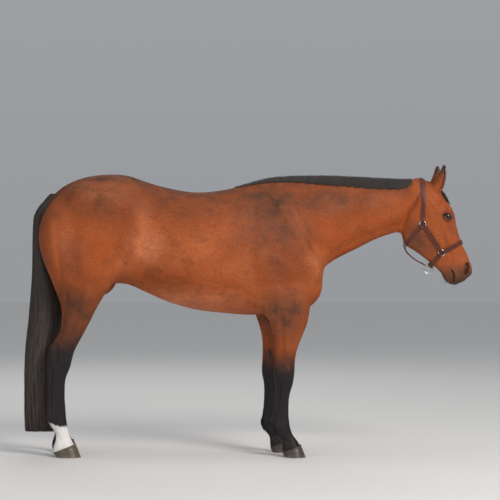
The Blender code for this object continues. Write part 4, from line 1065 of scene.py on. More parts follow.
def marks(p):
    """How far the skin and the coat at these places are black, white, sooty with painted shade, in painted
    sheen, grey-brown and bare.
    """
    head = smooth(in_head(p), -0.02, 0.02)
    axes, flat = head_axes(p), as_right_leg(p)
    edge = 0.010 * wobble(p, 60.0)
    is_hind = p[:, 0] < BETWEEN_LEGS
    front = smooth(np.where(is_hind, 1.0, p[:, 2] + edge), *FORELEG_BLACK)
    hind = smooth(np.where(is_hind, p[:, 2] + edge, 1.0), *HINDLEG_BLACK)
    black = 1 - (1 - np.maximum(front, hind)) ** 2.0
    ears = smooth(p[:, 2] + 0.5 * edge, *EAR_BLACK) * head
    black = np.maximum(black, 0.88 * ears**1.5)
    level = p[:, 2] + 0.006 * wobble(p, 160.0, 2.0) + 0.20 * (p[:, 0] + 1.06)
    white = np.where((p[:, 1] < 0) & is_hind, smooth(level, *WHITE_TOP), 0.0)
    # Sooty colour and painted shade: the patches, and a darker topline.
    sooty_and_shade = patches(flat, SOOTY_AND_SHADE_PATCHES) * (1 - head)
    down = (top_of_back(p[:, 0]) - p[:, 2]) / (0.30 - 0.13 * smooth(p[:, 0], 0.20, 0.50))
    top = 0.58 * smooth(down, 1.0, 0.25) + 0.25 * smooth(down, 0.22, 0.0)
    sooty_and_shade = np.maximum(sooty_and_shade, top * (1 - head))
    sooty_and_shade *= 1 + 0.10 * wobble(p, 9.0, 4.0) + 0.07 * wobble(p, 23.0, 1.0)
    jaw = to_line(axes, JAW_LINE)[0]
    sooty_and_shade = np.maximum(sooty_and_shade, head * (0.15 + 0.35 * smooth(p[:, 2], 1.50, 1.56)))
    # Painted shade: a dark line along the crease of the jaw.
    sooty_and_shade = np.clip(np.maximum(sooty_and_shade, 0.75 * head * bell(jaw, 0.007)), 0, 1)
    # Painted sheen: painted highlights, and painted light along the belly.
    pale = patches(flat, PAINTED_SHEEN_PATCHES) * (1 - head)
    muzzle = smooth(axes[:, 0] - 0.25 * np.clip(axes[:, 1], -0.1, 0.1) + 0.3 * edge, 0.500, 0.615)
    grey = np.maximum(patches(axes, GREY_PATCHES), 0.92 * muzzle) * head
    nostril = 1 - smooth(to_outline(axes, NOSTRIL_DEEP), -0.002, 0.0035)
    nostril *= (np.abs(p[:, 1]) > 0.010) * (axes[:, 1] > 0.0) * head
    grey = np.maximum(grey, nostril)
    bare = np.maximum(0.30 * nostril, 0.40 * smooth(axes[:, 0], 0.600, 0.645) * head)
    lips = np.flatnonzero((head > 0) & (axes[:, 0] > 0.53))
    bare[lips] = np.maximum(bare[lips], 0.85 * smooth(to_line(axes[lips], MOUTH)[0], 0.0055, 0.0015))
    for side in (-1, 1):
        near = np.flatnonzero((np.linalg.norm(p - eye_centre(side), axis=1) < 0.05) & (p[:, 1] * side > 0))
        bare[near] = np.maximum(bare[near], 0.85 * smooth(eye_frame(p[near], side)[3], 0.0050, 0.0010))
    return np.stack([black, white, sooty_and_shade, pale, grey, bare], axis=1)


def top_of_back(x):
    rows = np.array(sorted([(r[0], r[1]) for r in TRUNK[:-4]] + [(r[0], r[1]) for r in NECK[2:]]))
    return np.interp(x, rows[:, 0], rows[:, 1])


def paint(obj, values, tone):
    """Stores the marks and a tone on an object's vertices, where its material reads them."""
    for name, three in (("marks_a", values[:, :3]), ("marks_b", values[:, 3:])):
        layer = obj.data.attributes.new(name, "FLOAT_COLOR", "POINT")
        layer.data.foreach_set("color", np.insert(three, 3, 1.0, axis=1).astype(np.float32).ravel())
    add_number(obj, "tone", tone)


# ---------------------------------------------------------------- materials
class Nodes:
    """A material's nodes, made in a few words each."""

    def __init__(self, name):
        material = bpy.data.materials.new("fine_" + name)
        material.use_nodes = True
        self.tree = material.node_tree
        self.shader = self.tree.nodes["Principled BSDF"]

    def node(self, kind, inputs=(), **settings):
        made = self.tree.nodes.new("ShaderNode" + kind)
        for key, value in settings.items():
            setattr(made, key, value)
        for key, value in dict(inputs).items():
            self.set(made, key, value)
        return made

    def set(self, node, key, value):
        if isinstance(value, bpy.types.NodeSocket):
            self.tree.links.new(value, node.inputs[key])
        elif isinstance(value, tuple) and len(value) == 3 and node.inputs[key].type == "RGBA":
            node.inputs[key].default_value = (*value, 1.0)
        else:
            node.inputs[key].default_value = value

    def surface(self, **inputs):
        for key, value in inputs.items():
            self.set(self.shader, key.replace("_", " "), value)

    def place(self):
        return self.node("TexCoord").outputs["Object"]

    def mapped(self, scale, rotation=(0.0, 0.0, 0.0)):
        inputs = {"Vector": self.place(), "Scale": scale, "Rotation": rotation}
        return self.node("Mapping", inputs).outputs["Vector"]

    def noise(self, scale, detail=3.0, vector=None, rough=0.5):
        inputs = {"Scale": scale, "Detail": detail, "Roughness": rough, "Vector": vector or self.place()}
        return self.node("TexNoise", inputs).outputs["Fac"]

    def cells(self, scale):
        return self.node("TexVoronoi", {"Scale": scale, "Vector": self.place()}).outputs["Distance"]

    def range(self, value, low, high, to_low=0.0, to_high=1.0):
        inputs = {"Value": value, "From Min": low, "From Max": high, "To Min": to_low, "To Max": to_high}
        return self.node("MapRange", inputs, interpolation_type="SMOOTHSTEP").outputs["Result"]

    def mix(self, share, a, b, blend="MIX"):
        made = self.node("Mix", data_type="RGBA", blend_type=blend)
        for index, value in ((0, share), (6, a), (7, b)):
            self.set(made, index, value)
        return made.outputs[2]

    def math(self, operation, a, b=0.0):
        return self.node("Math", {0: a, 1: b}, operation=operation).outputs["Value"]

    def parts(self, name):
        layer = self.node("Attribute", attribute_name=name, attribute_type="GEOMETRY")
        return self.node("SeparateColor", {"Color": layer.outputs["Color"]}).outputs

    def number(self, name):
        return self.node("Attribute", attribute_name=name, attribute_type="GEOMETRY").outputs["Fac"]

    def bump(self, height, strength, distance):
        inputs = {"Height": height, "Strength": strength, "Distance": distance}
        return self.node("Bump", inputs).outputs["Normal"]


def coat_material(name):
    """The bay coat with its markings, its painted shade and its painted sheen. The skin's has the lie of the
    hair in its bump.
    """
    n = Nodes(name)
    black, white, sooty_and_shade = n.parts("marks_a")
    pale, grey, bare = n.parts("marks_b")
    dapple = n.range(n.cells(17.0), 0.15, 0.75)
    cloud = n.noise(7.0, 4.0)
    streaks = n.noise(1.0, 4.0, n.mapped((60.0, 260.0, 210.0), (0.0, 0.35, 0.0)), 0.6)
    mottle = n.range(n.noise(13.0, 5.0, rough=0.60), 0.30, 0.70)
    # Sooty colour with its painted shade, mottled.
    depth = n.math("MULTIPLY", sooty_and_shade, n.range(mottle, 0.0, 1.0, 0.74, 1.10))
    depth = n.math("MAXIMUM", depth, n.range(mottle, 0.40, 1.0, 0.0, 0.26))
    colour = n.mix(n.range(cloud, 0.25, 0.75, 0.0, 0.14), BAY, BAY_PALE_AND_SHEEN)
    # Painted sheen from the pale patches, broken up by the dapples.
    colour = n.mix(n.math("MULTIPLY", pale, n.range(dapple, 0.0, 1.0, 1.0, 0.70)), colour, BAY_PALE_AND_SHEEN)
    colour = n.mix(depth, colour, BAY_DARK)
    colour = n.mix(grey, colour, GREY_BROWN)
    colour = n.mix(black, colour, BLACK_POINT)
    colour = n.mix(white, colour, WHITE)
    colour = n.mix(bare, colour, BARE_SKIN)
    tone = n.number("tone")
    shade = n.math("MULTIPLY", n.range(streaks, 0.30, 0.70, 0.82, 1.14), tone)
    shade = n.mix(n.math("MULTIPLY", white, 0.75), shade, (0.97, 0.97, 0.97))
    colour = n.mix(1.0, colour, shade, "MULTIPLY")
    gloss = n.range(n.noise(30.0, 3.0), 0.3, 0.7, 0.50, 0.62)
    gloss = n.math("SUBTRACT", gloss, n.math("MULTIPLY", black, 0.14))
    n.surface(Base_Color=colour, Roughness=gloss, Specular_IOR_Level=0.17)
    if name == "skin":
        hairs = n.noise(1.0, 5.0, n.mapped((160.0, 900.0, 640.0), (0.0, 0.35, 0.0)), 0.65)
        pores = n.math("MULTIPLY", n.cells(900.0), bare)
        n.surface(Normal=n.bump(n.math("ADD", hairs, pores), 0.30, 0.0012))


def hair_material(name):
    n = Nodes(name)
    tone = n.number("tone")
    along = n.number("along")
    streaks = n.noise(1.0, 3.0, n.mapped((420.0, 420.0, 26.0)), 0.6)
    share = n.math("MULTIPLY", n.math("MULTIPLY", streaks, tone), n.range(along, 0.0, 1.0, 0.75, 1.60))
    n.surface(Base_Color=n.mix(share, HAIR_DARK, HAIR_LIGHT))
    n.surface(Roughness=n.range(streaks, 0.3, 0.7, 0.38, 0.54))
    n.surface(Specular_IOR_Level=0.34, Anisotropic=0.3)


def bare_material():
    """Bare dark skin, as on the lids' edges and chestnuts."""
    n = Nodes("bare_skin")
    rough = n.noise(420.0, 4.0)
    colour = n.mix(n.range(rough, 0.35, 0.7), BARE_SKIN, BARE_SKIN_LIGHT)
    n.surface(Base_Color=colour, Roughness=n.range(rough, 0.3, 0.7, 0.26, 0.44))
    n.surface(Normal=n.bump(rough, 0.35, 0.0008))


def horn_material(name, dark, pale):
    n = Nodes(name)
    fibres = n.noise(1.0, 4.0, n.mapped((500.0, 500.0, 18.0)), 0.6)
    bands = n.noise(1.0, 2.0, n.mapped((3.0, 3.0, 170.0)), 0.5)
    share = n.math("MULTIPLY", n.range(fibres, 0.3, 0.75), n.range(bands, 0.3, 0.7, 0.5, 1.2))
    colour = n.mix(share, dark, pale)
    worn = n.node("SeparateXYZ", {"Vector": n.place()}).outputs["Z"]
    dust = n.math("MULTIPLY", n.range(worn, 0.022, 0.0), n.range(n.noise(90.0), 0.4, 0.7))
    colour = n.mix(dust, colour, HORN_DUST)
    height = n.math("ADD", n.math("MULTIPLY", bands, 1.2), n.math("MULTIPLY", fibres, 0.5))
    n.surface(Base_Color=colour, Roughness=n.range(fibres, 0.3, 0.7, 0.34, 0.50))
    n.surface(Normal=n.bump(height, 0.25, 0.0006))


def leather_material():
    n = Nodes("leather")
    grain = n.cells(950.0)
    soft = n.noise(55.0, 4.0)
    edge = n.number("edge")
    shade = n.mix(n.range(soft, 0.35, 0.85, 0.0, 0.55), LEATHER, LEATHER_DARK)
    shade = n.mix(n.range(edge, 0.35, 1.0), shade, LEATHER_DARK)
    n.surface(Base_Color=shade, Roughness=n.range(soft, 0.3, 0.7, 0.36, 0.54), Specular_IOR_Level=0.35)
    n.surface(Normal=n.bump(n.math("ADD", grain, n.math("MULTIPLY", soft, 0.6)), 0.28, 0.0005))


def thread_material():
    n = Nodes("thread")
    twist = n.node("TexWave", {"Scale": 900.0, "Distortion": 2.0, "Vector": n.place()}).outputs["Fac"]
    n.surface(Base_Color=n.mix(twist, THREAD, THREAD_DARK), Roughness=0.75)
    n.surface(Normal=n.bump(twist, 0.5, 0.0003))


def steel_material():
    n = Nodes("steel")
    wear = n.noise(160.0, 5.0)
    scratches = n.noise(1.0, 3.0, n.mapped((1400.0, 90.0, 90.0)), 0.5)
    n.surface(Base_Color=n.mix(n.range(wear, 0.45, 0.75), STEEL, STEEL_WORN), Metallic=1.0)
    n.surface(Roughness=n.range(wear, 0.3, 0.75, 0.14, 0.34))
    n.surface(Normal=n.bump(scratches, 0.12, 0.0003))


def eye_material():
    """Dark brown iris with fibres, a long level pupil and a dark rim, laid out by the map of the iris."""
    n = Nodes("eyeball")
    at = n.node("UVMap", uv_map="iris").outputs["UV"]
    from_middle = n.node("VectorMath", {0: at, 1: (0.5, 0.5, 0.0)}, operation="SUBTRACT").outputs[0]
    across = n.node("SeparateXYZ", {"Vector": from_middle})
    u, v = across.outputs["X"], across.outputs["Y"]
    radius = n.math("SQRT", n.math("ADD", n.math("MULTIPLY", u, u), n.math("MULTIPLY", v, v)))
    turn = n.math("ARCTAN2", u, v)
    spokes = n.node("CombineXYZ", {"X": n.math("MULTIPLY", turn, 9.0), "Y": n.math("MULTIPLY", radius, 3.0)})
    fibres = n.noise(2.2, 5.0, spokes.outputs[0], 0.6)
    iris = n.mix(n.range(fibres, 0.3, 0.75), IRIS_DARK, IRIS)
    wide = n.math("MULTIPLY", n.math("MULTIPLY", u, u), 22.0)
    tall = n.math("MULTIPLY", n.math("MULTIPLY", v, v), 75.0)
    pupil = n.range(n.math("ADD", wide, tall), 1.15, 0.85)
    colour = n.mix(pupil, iris, PUPIL)
    colour = n.mix(n.range(radius, 0.34, 0.40), colour, IRIS_RIM)
    colour = n.mix(n.range(radius, 0.41, 0.48), colour, EYE_WHITE)
    n.surface(Base_Color=colour, Roughness=0.30, Specular_IOR_Level=0.0)
    n.surface(Coat_Weight=1.0, Coat_Roughness=0.02)


def floor_material():
    n = Nodes("floor")
    fine = n.noise(40.0, 5.0)
    n.surface(Base_Color=n.mix(n.range(fine, 0.3, 0.7), FLOOR, FLOOR_LIGHT), Roughness=0.85)
    n.surface(Specular_IOR_Level=0.2)


def wear(obj, name):
    """The object, with the material of this name."""
    obj.data.materials.clear()
    obj.data.materials.append(bpy.data.materials["fine_" + name])
    return obj


# ---------------------------------------------------------------- eyes, hooves and small bare parts
CORNEA_RISE = 0.0007
GAZE = (0.16, 1.0, -0.03)  # which way the left eye looks
LASHES = 44
HOOF_RINGS = 0.00032  # height of the growth rings
CORONET_SWELL, CORONET_DIP = 0.0016, 0.0008
HOOF_GAP = 0.001  # between the coronet and the leg
SOLE = ((0.90, 0.0), (0.86, 0.0035), (0.60, 0.0060), (0.30, 0.0065), (0.05, 0.0065))  # share, rise
CHESTNUTS = (  # x, z, radii, lean in degrees, how far back the left leg stands
    (0.194, 0.566, (0.0105, 0.0045, 0.023), -6, LEFT_FORE_BACK),
    (-1.038, 0.520, (0.0065, 0.0035, 0.014), 6, LEFT_HIND_BACK),
)


def add_map(obj, name, places):
    """A UV map that has each vertex's place on all its corners."""
    layer = obj.data.uv_layers.new(name=name)
    corners = places[read(obj.data.loops, "vertex_index", 1, int)]
    layer.uv.foreach_set("vector", np.asarray(corners, np.float32).ravel())


def add_number(obj, name, values):
    """Stores a number on each vertex, or one number on all."""
    layer = obj.data.attributes.new(name, "FLOAT", "POINT")
    layer.data.foreach_set("value", np.broadcast_to(values, len(layer.data)).astype(np.float32))


def eyeball(side, word):
    """The ball with its cornea, mapped flat over the iris."""
    centre = eye_centre(side)
    gaze = unit(np.array(GAZE) * (1.0, side, 1.0))
    level = unit(np.cross((0.0, 0.0, 1.0), gaze))
    up = np.cross(gaze, level)
    rim = rays(64, level, up)
    rings = [centre + gaze * (EYE_RADIUS + CORNEA_RISE) + rim * 1e-4]
    for t in np.linspace(0.0, math.pi, 49)[1:-1]:
        swell = CORNEA_RISE * math.exp(-((t / 0.50) ** 2))
        rings.append(centre + (gaze * math.cos(t) + rim * math.sin(t)) * (EYE_RADIUS + swell))
    obj = loft(f"eyeball_{word}", rings)
    away = unit(read(obj.data.vertices, "co", 3) - centre)
    flat = np.stack([away @ level, away @ up], axis=1) / 2
    flat = np.where((away @ gaze > 0)[:, None], flat, unit(flat) * 0.5)
    add_map(obj, "iris", flat + 0.5)
    return wear(obj, "eyeball")


def swept(name, path, out, profile, closed=False):
    """A profile carried along a path. profile holds (across, out) for each station, or one for all."""
    run = np.roll(path, -1, axis=0) - np.roll(path, 1, axis=0) if closed else np.gradient(path, axis=0)
    run = unit(run)
    out = unit(out - run * (out * run).sum(axis=1)[:, None])
    across = np.cross(run, out)
    rings = path[:, None] + profile[..., :1] * across[:, None] + profile[..., 1:] * out[:, None]
    return loft(name, rings, closed)


def round_profile(width, depth, count, power=2.0):
    across, up = oval(count, power, power)
    return np.stack([across * width / 2, up * depth / 2], axis=1)


def on_eyeball(seen, side, lift):
    """The place over the eyeball at this offset along s and f from its centre, and the way out there."""
    flat = seen[:, :1] * FACE_DOWN + seen[:, 1:] * FACE_OUT
    deep = np.sqrt(np.maximum(EYE_RADIUS**2 - (seen**2).sum(axis=1), 1e-8))
    way = (flat + deep[:, None] * np.array((0.0, side, 0.0))) / EYE_RADIUS
    return eye_centre(side) + way * (EYE_RADIUS + lift), way


def lid_rim(side, word):
    """The bare edge of the lids, thicker on the upper one."""
    seen = closed_curve(np.array(EYE_OUTLINE), 72)
    path, way = on_eyeball(seen, side, 0.0012)
    upper = smooth(-seen[:, 0], -0.004, 0.012)
    profile = round_profile(0.0034, 0.0030, 8) * (1 + 0.35 * upper)[:, None, None]
    return wear(swept(f"lid_rim_{word}", path, way, profile, closed=True), "bare_skin")


def lashes(side, word, rng):
    """Stiff black lashes along the upper lid, each a bent tapering hair."""
    seen = closed_curve(np.array(EYE_OUTLINE), 120)
    seen = seen[seen[:, 0] < -0.006]
    seen = seen[np.argsort(seen[:, 1])]
    picks = np.linspace(1, len(seen) - 2, LASHES).astype(int)
    roots, way = on_eyeball(seen[picks], side, 0.0026)
    lengths = rng.uniform(0.009, 0.015, len(picks))
    spread = FACE_OUT * (seen[picks, 1] / 0.03)[:, None]
    droop = np.array((0.0, 0.0, -0.55))
    start = unit(way * 0.6 + np.array((0.0, side * 1.0, 0.0)) + droop + 0.4 * spread)
    t = np.linspace(0.0, 1.0, 5)[None, :, None]
    paths = roots[:, None] + start[:, None] * t * lengths[:, None, None]
    paths = paths + np.array((0.0, 0.0, 0.35)) * (t**2 * lengths[:, None, None])
    obj = strands(f"lashes_{word}", paths, 0.0007, 0.0005, way, 0.15)
    return give_tones(obj, np.full(LASHES, LASH_TONE), "lash")


def hoof(name, sizes, side, back):
    """A hoof with growth rings, a swollen coronet band, a narrower heel and a hollow sole with its frog."""
    x_front, z_front, x_heel, z_heel, ground_front, ground_heel, y, top_half, ground_half = sizes
    across, along = oval(56, 2.2, 2.6)
    rings = []
    for t in np.linspace(0.0, 1.0, 34):
        front, heel = x_front + (ground_front - x_front) * t, x_heel + (ground_heel - x_heel) * t
        half = top_half + (ground_half - top_half) * t**0.8
        ripple = HOOF_RINGS * math.sin(38 * t + 2 * math.sin(9 * t)) * smooth(t, 0.05, 0.25)
        band = CORONET_SWELL * bell(t - 0.05, 0.06) - CORONET_DIP * bell(t - 0.16, 0.05)
        swell = ripple + band - 0.0012
        x = (front + heel) / 2 + along * ((front - heel) / 2 + swell)
        narrow = 1 - 0.16 * np.clip(-along, 0, 1) ** 2
        top = z_heel + (x - heel) * (z_front - z_heel) / (front - heel)
        width = across * (half + swell) * narrow
        rings.append(np.stack([x - back, side * y + width, (top - HOOF_GAP) * (1 - t)], axis=1))
    wall = rings[-1]
    middle = wall.mean(axis=0)
    for share, rise in SOLE:
        ring = middle + (wall - middle) * share
        ring[:, 2] = rise
        rings.append(ring)
    sole = rings[-3]
    sole[:, 2] -= 0.0045 * bell(sole[:, 1] - middle[1], 0.012) * smooth(middle[0] - sole[:, 0], 0.0, 0.02)
    return loft(name, rings)


def pebble(centre, radii, turn, rng):
    """A small horny growth with a rough, cracked shape."""
    obj = ellipsoid("chestnut", (0, 0, 0), (1, 1, 1), 0.0, 32)
    p = read(obj.data.vertices, "co", 3)
    rough = 1 + 0.08 * wobble(p, 5.0, 1.0) + 0.05 * wobble(p, 13.0, 3.0) + rng.normal(0, 0.01, len(p))
    p = (p * rough[:, None]) * np.array(radii)
    matrix = np.array(Matrix.Rotation(math.radians(turn), 3, "Y"))
    write_places(obj.data, p @ matrix.T + np.array(centre))
    return smoothed(obj)


def chestnuts(tree, rng):
    """The horny growths inside each leg, above the knees and below the hocks."""
    made = []
    for side, _ in SIDES:
        for x, z, radii, lean, back in CHESTNUTS:
            start = Vector((x - back * (side > 0), 0.0, z))
            place, _, _, _ = tree.ray_cast(start, Vector((0.0, side, 0.0)))
            made.append(pebble(place, radii, lean, rng))
    return wear(joined("chestnuts", made), "bare_skin")


# ---------------------------------------------------------------- long hair
PATCH = 0.003  # of the OFBake map, across
MANE_STATIONS = 90
MANE_DOWN = (-0.020, 0.115, 46)  # the grid under the mane: from and to, from the crest down, and its places
MANE_END = 0.9345
MANE_LOCKS, MANE_POINTS = 4400, 7
FORELOCK_DOWN = (0.04, 0.22, 37)  # the grid under the forelock, in s
FORELOCK_ACROSS = (-0.070, 0.030, 26)  # and in y
FORELOCK_LOCKS, FORELOCK_POINTS = 900, 8
TAIL_LOCKS, TAIL_POINTS = 1250, 12
TAIL_TOP, TAIL_BOTTOM = 1.47, 0.131
TAIL_LOCK = 0.22  # radians round the tail to a lock
TAIL_OUTER, TAIL_INNER = (0.86, 1.0), (0.72, 0.90)  # how far out the tail's locks lie
LASH_TONE = 0.4


def strands(name, paths, width, depth, out, blunt):
    """Many tapering three-sided hairs or locks as one mesh.

    paths is strands x points x 3, out the way out of the skin at each point or for each strand.
    """
    many, points = paths.shape[:2]
    run = unit(np.gradient(paths, axis=1))
    out = out[:, None] if out.ndim == 2 else out
    out = unit(out - run * (out * run).sum(axis=2)[..., None])
    across = np.cross(run, out)
    t = np.linspace(0.0, 1.0, points)
    taper = (blunt + (1 - blunt) * np.sqrt(np.clip(1 - t**3, 0, 1))) * (0.75 + 0.25 * smooth(t, 0.0, 0.15))
    wide = np.broadcast_to(width, many)[:, None, None] * taper[None, :, None] / 2
    deep = np.broadcast_to(depth, many)[:, None, None] * taper[None, :, None]
    rings = np.stack([paths - across * wide, paths + across * wide, paths + out * deep], axis=2)
    one = tube_faces(points, 3)
    first = (np.arange(many) * points * 3)[:, None, None]
    faces = [(block[None] + first).reshape(-1, block.shape[1]) for block in one]
    obj = faced_out(mesh_object(name, rings.reshape(-1, 3), faces))
    soft = np.stack([out - across * 0.8, out + across * 0.8, out + across * 0.0], axis=2)
    obj.data.normals_split_custom_set_from_vertices(unit(soft).reshape(-1, 3))
    add_number(obj, "along", np.broadcast_to(t[None, :, None], (many, points, 3)).ravel())
    return obj


def give_tones(obj, tones, material="long_hair"):
    """The object in its material, with one tone for each of its hairs or locks."""
    add_number(obj, "tone", np.repeat(tones, len(obj.data.vertices) // len(tones)))
    return wear(obj, material)


def map_patches(obj, roots, atlas):
    """The OFBake map: each lock or tuft is a patch at its root's place on the unwrap of the skin."""
    per = len(obj.data.vertices) // len(roots)
    at = np.repeat(atlas(roots), per, axis=0)
    turn = np.tile(np.arange(per) * 2.399963, len(roots))
    step = np.stack([np.cos(turn), np.sin(turn)], axis=1) * PATCH / 2
    add_map(obj, "OFBake", np.clip(at + step, 0.0, 1.0))
    return obj


def mane_grid(tree):
    """Skin under the mane: for stations along the crest, points down the right side and the way out."""
    stations = np.linspace(MANE[0][0], MANE[-1][0], MANE_STATIONS)
    turns = np.radians(np.arange(-22.0, 116.0, 3.0))
    skin, outs = [], []
    for x in stations:
        crest = hit_from_outside(tree, (x, 0.0, 1.2), (0, 0, 1))
        centre = crest - np.array((0.0, 0.0, 0.07))
        line = np.array([hit_from_outside(tree, centre, (0, -math.sin(a), math.cos(a))) for a in turns])
        along = distances(line)
        at = np.linspace(*MANE_DOWN) + np.interp(0.0, turns, along)
        skin.append(read_off(at, along, line))
        outs.append(unit(skin[-1] - centre))
    return stations, np.array(skin), np.array(outs)


def place_in(value, low, high, count):
    """Where a value lies among this many even steps from low to high, as a fractional index."""
    return (value - low) / (high - low) * (count - 1)


def grid_at(grid, u, v):
    """Bilinear reading of a grid at fractional rows u and columns v."""
    u, v = np.clip(u, 0, grid.shape[0] - 1.001), np.clip(v, 0, grid.shape[1] - 1.001)
    i, j = u.astype(int), v.astype(int)
    a, b = (u - i)[..., None], (v - j)[..., None]
    top = grid[i, j] * (1 - a) + grid[i + 1, j] * a
    low = grid[i, j + 1] * (1 - a) + grid[i + 1, j + 1] * a
    return top * (1 - b) + low * b


def mane(grid, atlas, rng):
    """Short combed mane that lies on the right side, over a thin mat of the same hair."""
    stations, skin, outs = grid
    many = MANE_LOCKS
    x = rng.uniform(stations[0], stations[-1], many)
    layer = rng.uniform(0.0, 1.0, many)
    thick, length = columns_at(fill_in(MANE, 200), x)
    length = length * (1 + 0.060 * wobble(np.stack([x, x * 0, x * 0], 1), 110.0))
    start = np.where(layer > 0.6, rng.uniform(-0.012, 0.004, many), rng.uniform(0.0, 0.6, many) * length)
    end = length * rng.uniform(0.90, 1.02, many)
    end = np.where(rng.uniform(size=many) < 0.06, length * 1.06, end)
    t = np.linspace(0.0, 1.0, MANE_POINTS)[None]
    lock = x * 95 + 1.5 * np.sin(x * 31)
    sway = -0.006 + 0.005 * np.sin(lock) + rng.normal(0.0, 0.0022, many)
    drift = sway[:, None] * t**1.4 + 0.0008 * np.sin(t * 7 + rng.uniform(0, 6.3, many)[:, None])
    arc = start[:, None] + (end - start)[:, None] * t
    u = place_in(np.minimum(x[:, None] + drift, MANE_END), stations[0], stations[-1], MANE_STATIONS)
    v = place_in(arc, *MANE_DOWN)
    lift = HAIR_LIFT + (0.15 + 0.80 * layer)[:, None] * thick[:, None]
    lift = lift * np.clip(1.05 - (arc / length[:, None]) ** 2 * 0.65, 0.25, 1.0) * smooth(t, -0.25, 0.12)
    out = grid_at(outs, u, v)
    paths = grid_at(skin, u, v) + out * (lift - 0.0015)[..., None]
    obj = strands("mane_locks", paths, rng.uniform(0.0018, 0.0034, many), 0.0012, out, 0.25)
    give_tones(obj, rng.uniform(0.05, 0.45, many))
    return map_patches(obj, paths[:, 0], atlas)


def mane_mat(grid):
    """The dense inside of the mane, that shows between its locks."""
    stations, skin, outs = grid
    rows = fill_in(MANE, 200)
    rings = []
    for k, x in enumerate(stations):
        thick, length = columns_at(rows, x)
        u, v = np.full(12, float(k)), place_in(np.linspace(-0.008, length * 0.93, 12), *MANE_DOWN)
        place, out = grid_at(skin, u, v), grid_at(outs, u, v)
        rise = HAIR_LIFT + thick * 0.30 * np.clip(1.05 - np.linspace(0, 1, 12) ** 2, 0.1, 1)
        rings.append(np.concatenate([place + out * rise[:, None], (place - out * 0.002)[::-1]]))
    obj = loft("mane_mat", rings)
    add_number(obj, "along", 0.2)
    add_number(obj, "tone", 0.15)
    return wear(obj, "long_hair")


def forelock(tree, atlas, rng):
    """A forelock that falls down the forehead and over to its right side."""
    many = FORELOCK_LOCKS
    root_s, root_y = rng.uniform(0.050, 0.105, many), rng.normal(0.0, 0.42, many).clip(-0.95, 0.95)
    reach = rng.uniform(0.60, 1.0, many) ** 0.6
    t = np.linspace(0.0, 1.0, FORELOCK_POINTS)[None]
    longest = 0.212 - 0.020 * np.abs(root_y) + 0.008 * np.sin(np.round(root_y * 4) * 1.7)
    end_s = root_s + (longest - root_s) * reach
    s = root_s[:, None] + (end_s - root_s)[:, None] * t
    centre, half, thick = columns_at(fill_in(FORELOCK, 60), s)
    lock = np.round(root_y * 4)
    stray = 0.16 * np.sin(lock * 2.3)[:, None] * t**2 + rng.normal(0.0, 0.07, many)[:, None] * t
    across = root_y[:, None] + stray + 0.07 * np.sin(6 * t + rng.uniform(0, 6, many)[:, None])
    y = centre + half * across * 0.95
    layer = rng.uniform(0.05, 0.95, many)[:, None]
    flat_s, flat_y = np.linspace(*FORELOCK_DOWN), np.linspace(*FORELOCK_ACROSS)
    grid = [[hit_from_outside(tree, head_point(a, 0.0, b), FACE_OUT) for b in flat_y] for a in flat_s]
    skin = grid_at(np.array(grid), place_in(s, *FORELOCK_DOWN), place_in(y, *FORELOCK_ACROSS))
    cover = 1 - 0.7 * across**2
    lift = (0.0012 + thick * layer * cover) * smooth(t, -0.20, 0.18)
    paths = skin + FACE_OUT * lift[..., None]
    width = rng.uniform(0.0020, 0.0036, many)
    obj = strands("forelock_locks", paths, width, 0.0013, np.broadcast_to(FACE_OUT, paths.shape), 0.15)
    give_tones(obj, rng.uniform(0.35, 1.05, many))
    return map_patches(obj, paths[:, 0], atlas)


def tail_place(z, turn, depth):
    """A place in the tail: its height, which way round it and how far out from its middle, 0 to 1."""
    back, front, half = columns_at(fill_in(TAIL, 200)[::-1], z)
    c, s = np.cos(turn), np.sin(turn)
    power = np.where(c > 0, 2.4, 2.0)
    across, along = signed_power(s, 2 / power), signed_power(c, 2 / power)
    x = (front + back) / 2 - along * (front - back) / 2 * depth
    return np.stack([x, half * across * depth, z], axis=-1)


def tail_locks(atlas, rng, name, inner, outer):
    """Hair that springs from the dock all round, falls straight and is cut level."""
    many = TAIL_LOCKS
    turn = rng.uniform(0, 2 * math.pi, many)
    depth = rng.uniform(inner, outer, many)
    root = 1.486 - 0.34 * rng.uniform(0.0, 1.0, many) ** 1.9
    bottom = TAIL_BOTTOM + rng.uniform(0.0, 0.012, many) + 0.012 * (rng.uniform(size=many) < 0.15)
    bottom = np.where(rng.uniform(size=many) < 0.10, bottom + rng.uniform(0.0, 0.30, many), bottom)
    t = np.linspace(0.0, 1.0, TAIL_POINTS)[None]
    z = root[:, None] + (bottom - root)[:, None] * t
    lock = np.round(turn / TAIL_LOCK + rng.normal(0, 0.25, many))
    clump = 0.05 * np.sin(z * 21 + lock[:, None] * 1.9) + 0.03 * np.sin(z * 9 + lock[:, None])
    gather = 0.35 * (lock * TAIL_LOCK - turn)[:, None] * smooth(t, 0.2, 1.0)
    spin = turn[:, None] + clump + gather + rng.normal(0, 0.02, many)[:, None] * np.sin(5 * t)
    uneven = 1 + 0.03 * np.sin(z * 17 + lock[:, None] * 3.1)
    spread = depth[:, None] * (0.72 + 0.28 * smooth(t, -0.10, 0.06)) * uneven
    paths = tail_place(z, spin, np.clip(spread, 0, 0.985))
    paths[:, 0] = tail_place(z[:, 0], spin[:, 0], np.full(many, 0.66))
    middle = tail_place(z, spin, np.zeros_like(z))
    out = unit(paths - middle + np.array((0.0, 0.0, 1e-5)))
    obj = strands(name, paths, rng.uniform(0.0026, 0.0050, many), 0.0018, out, 0.35)
    give_tones(obj, rng.uniform(0.55, 1.50, many))
    return map_patches(obj, paths[:, 0], atlas)


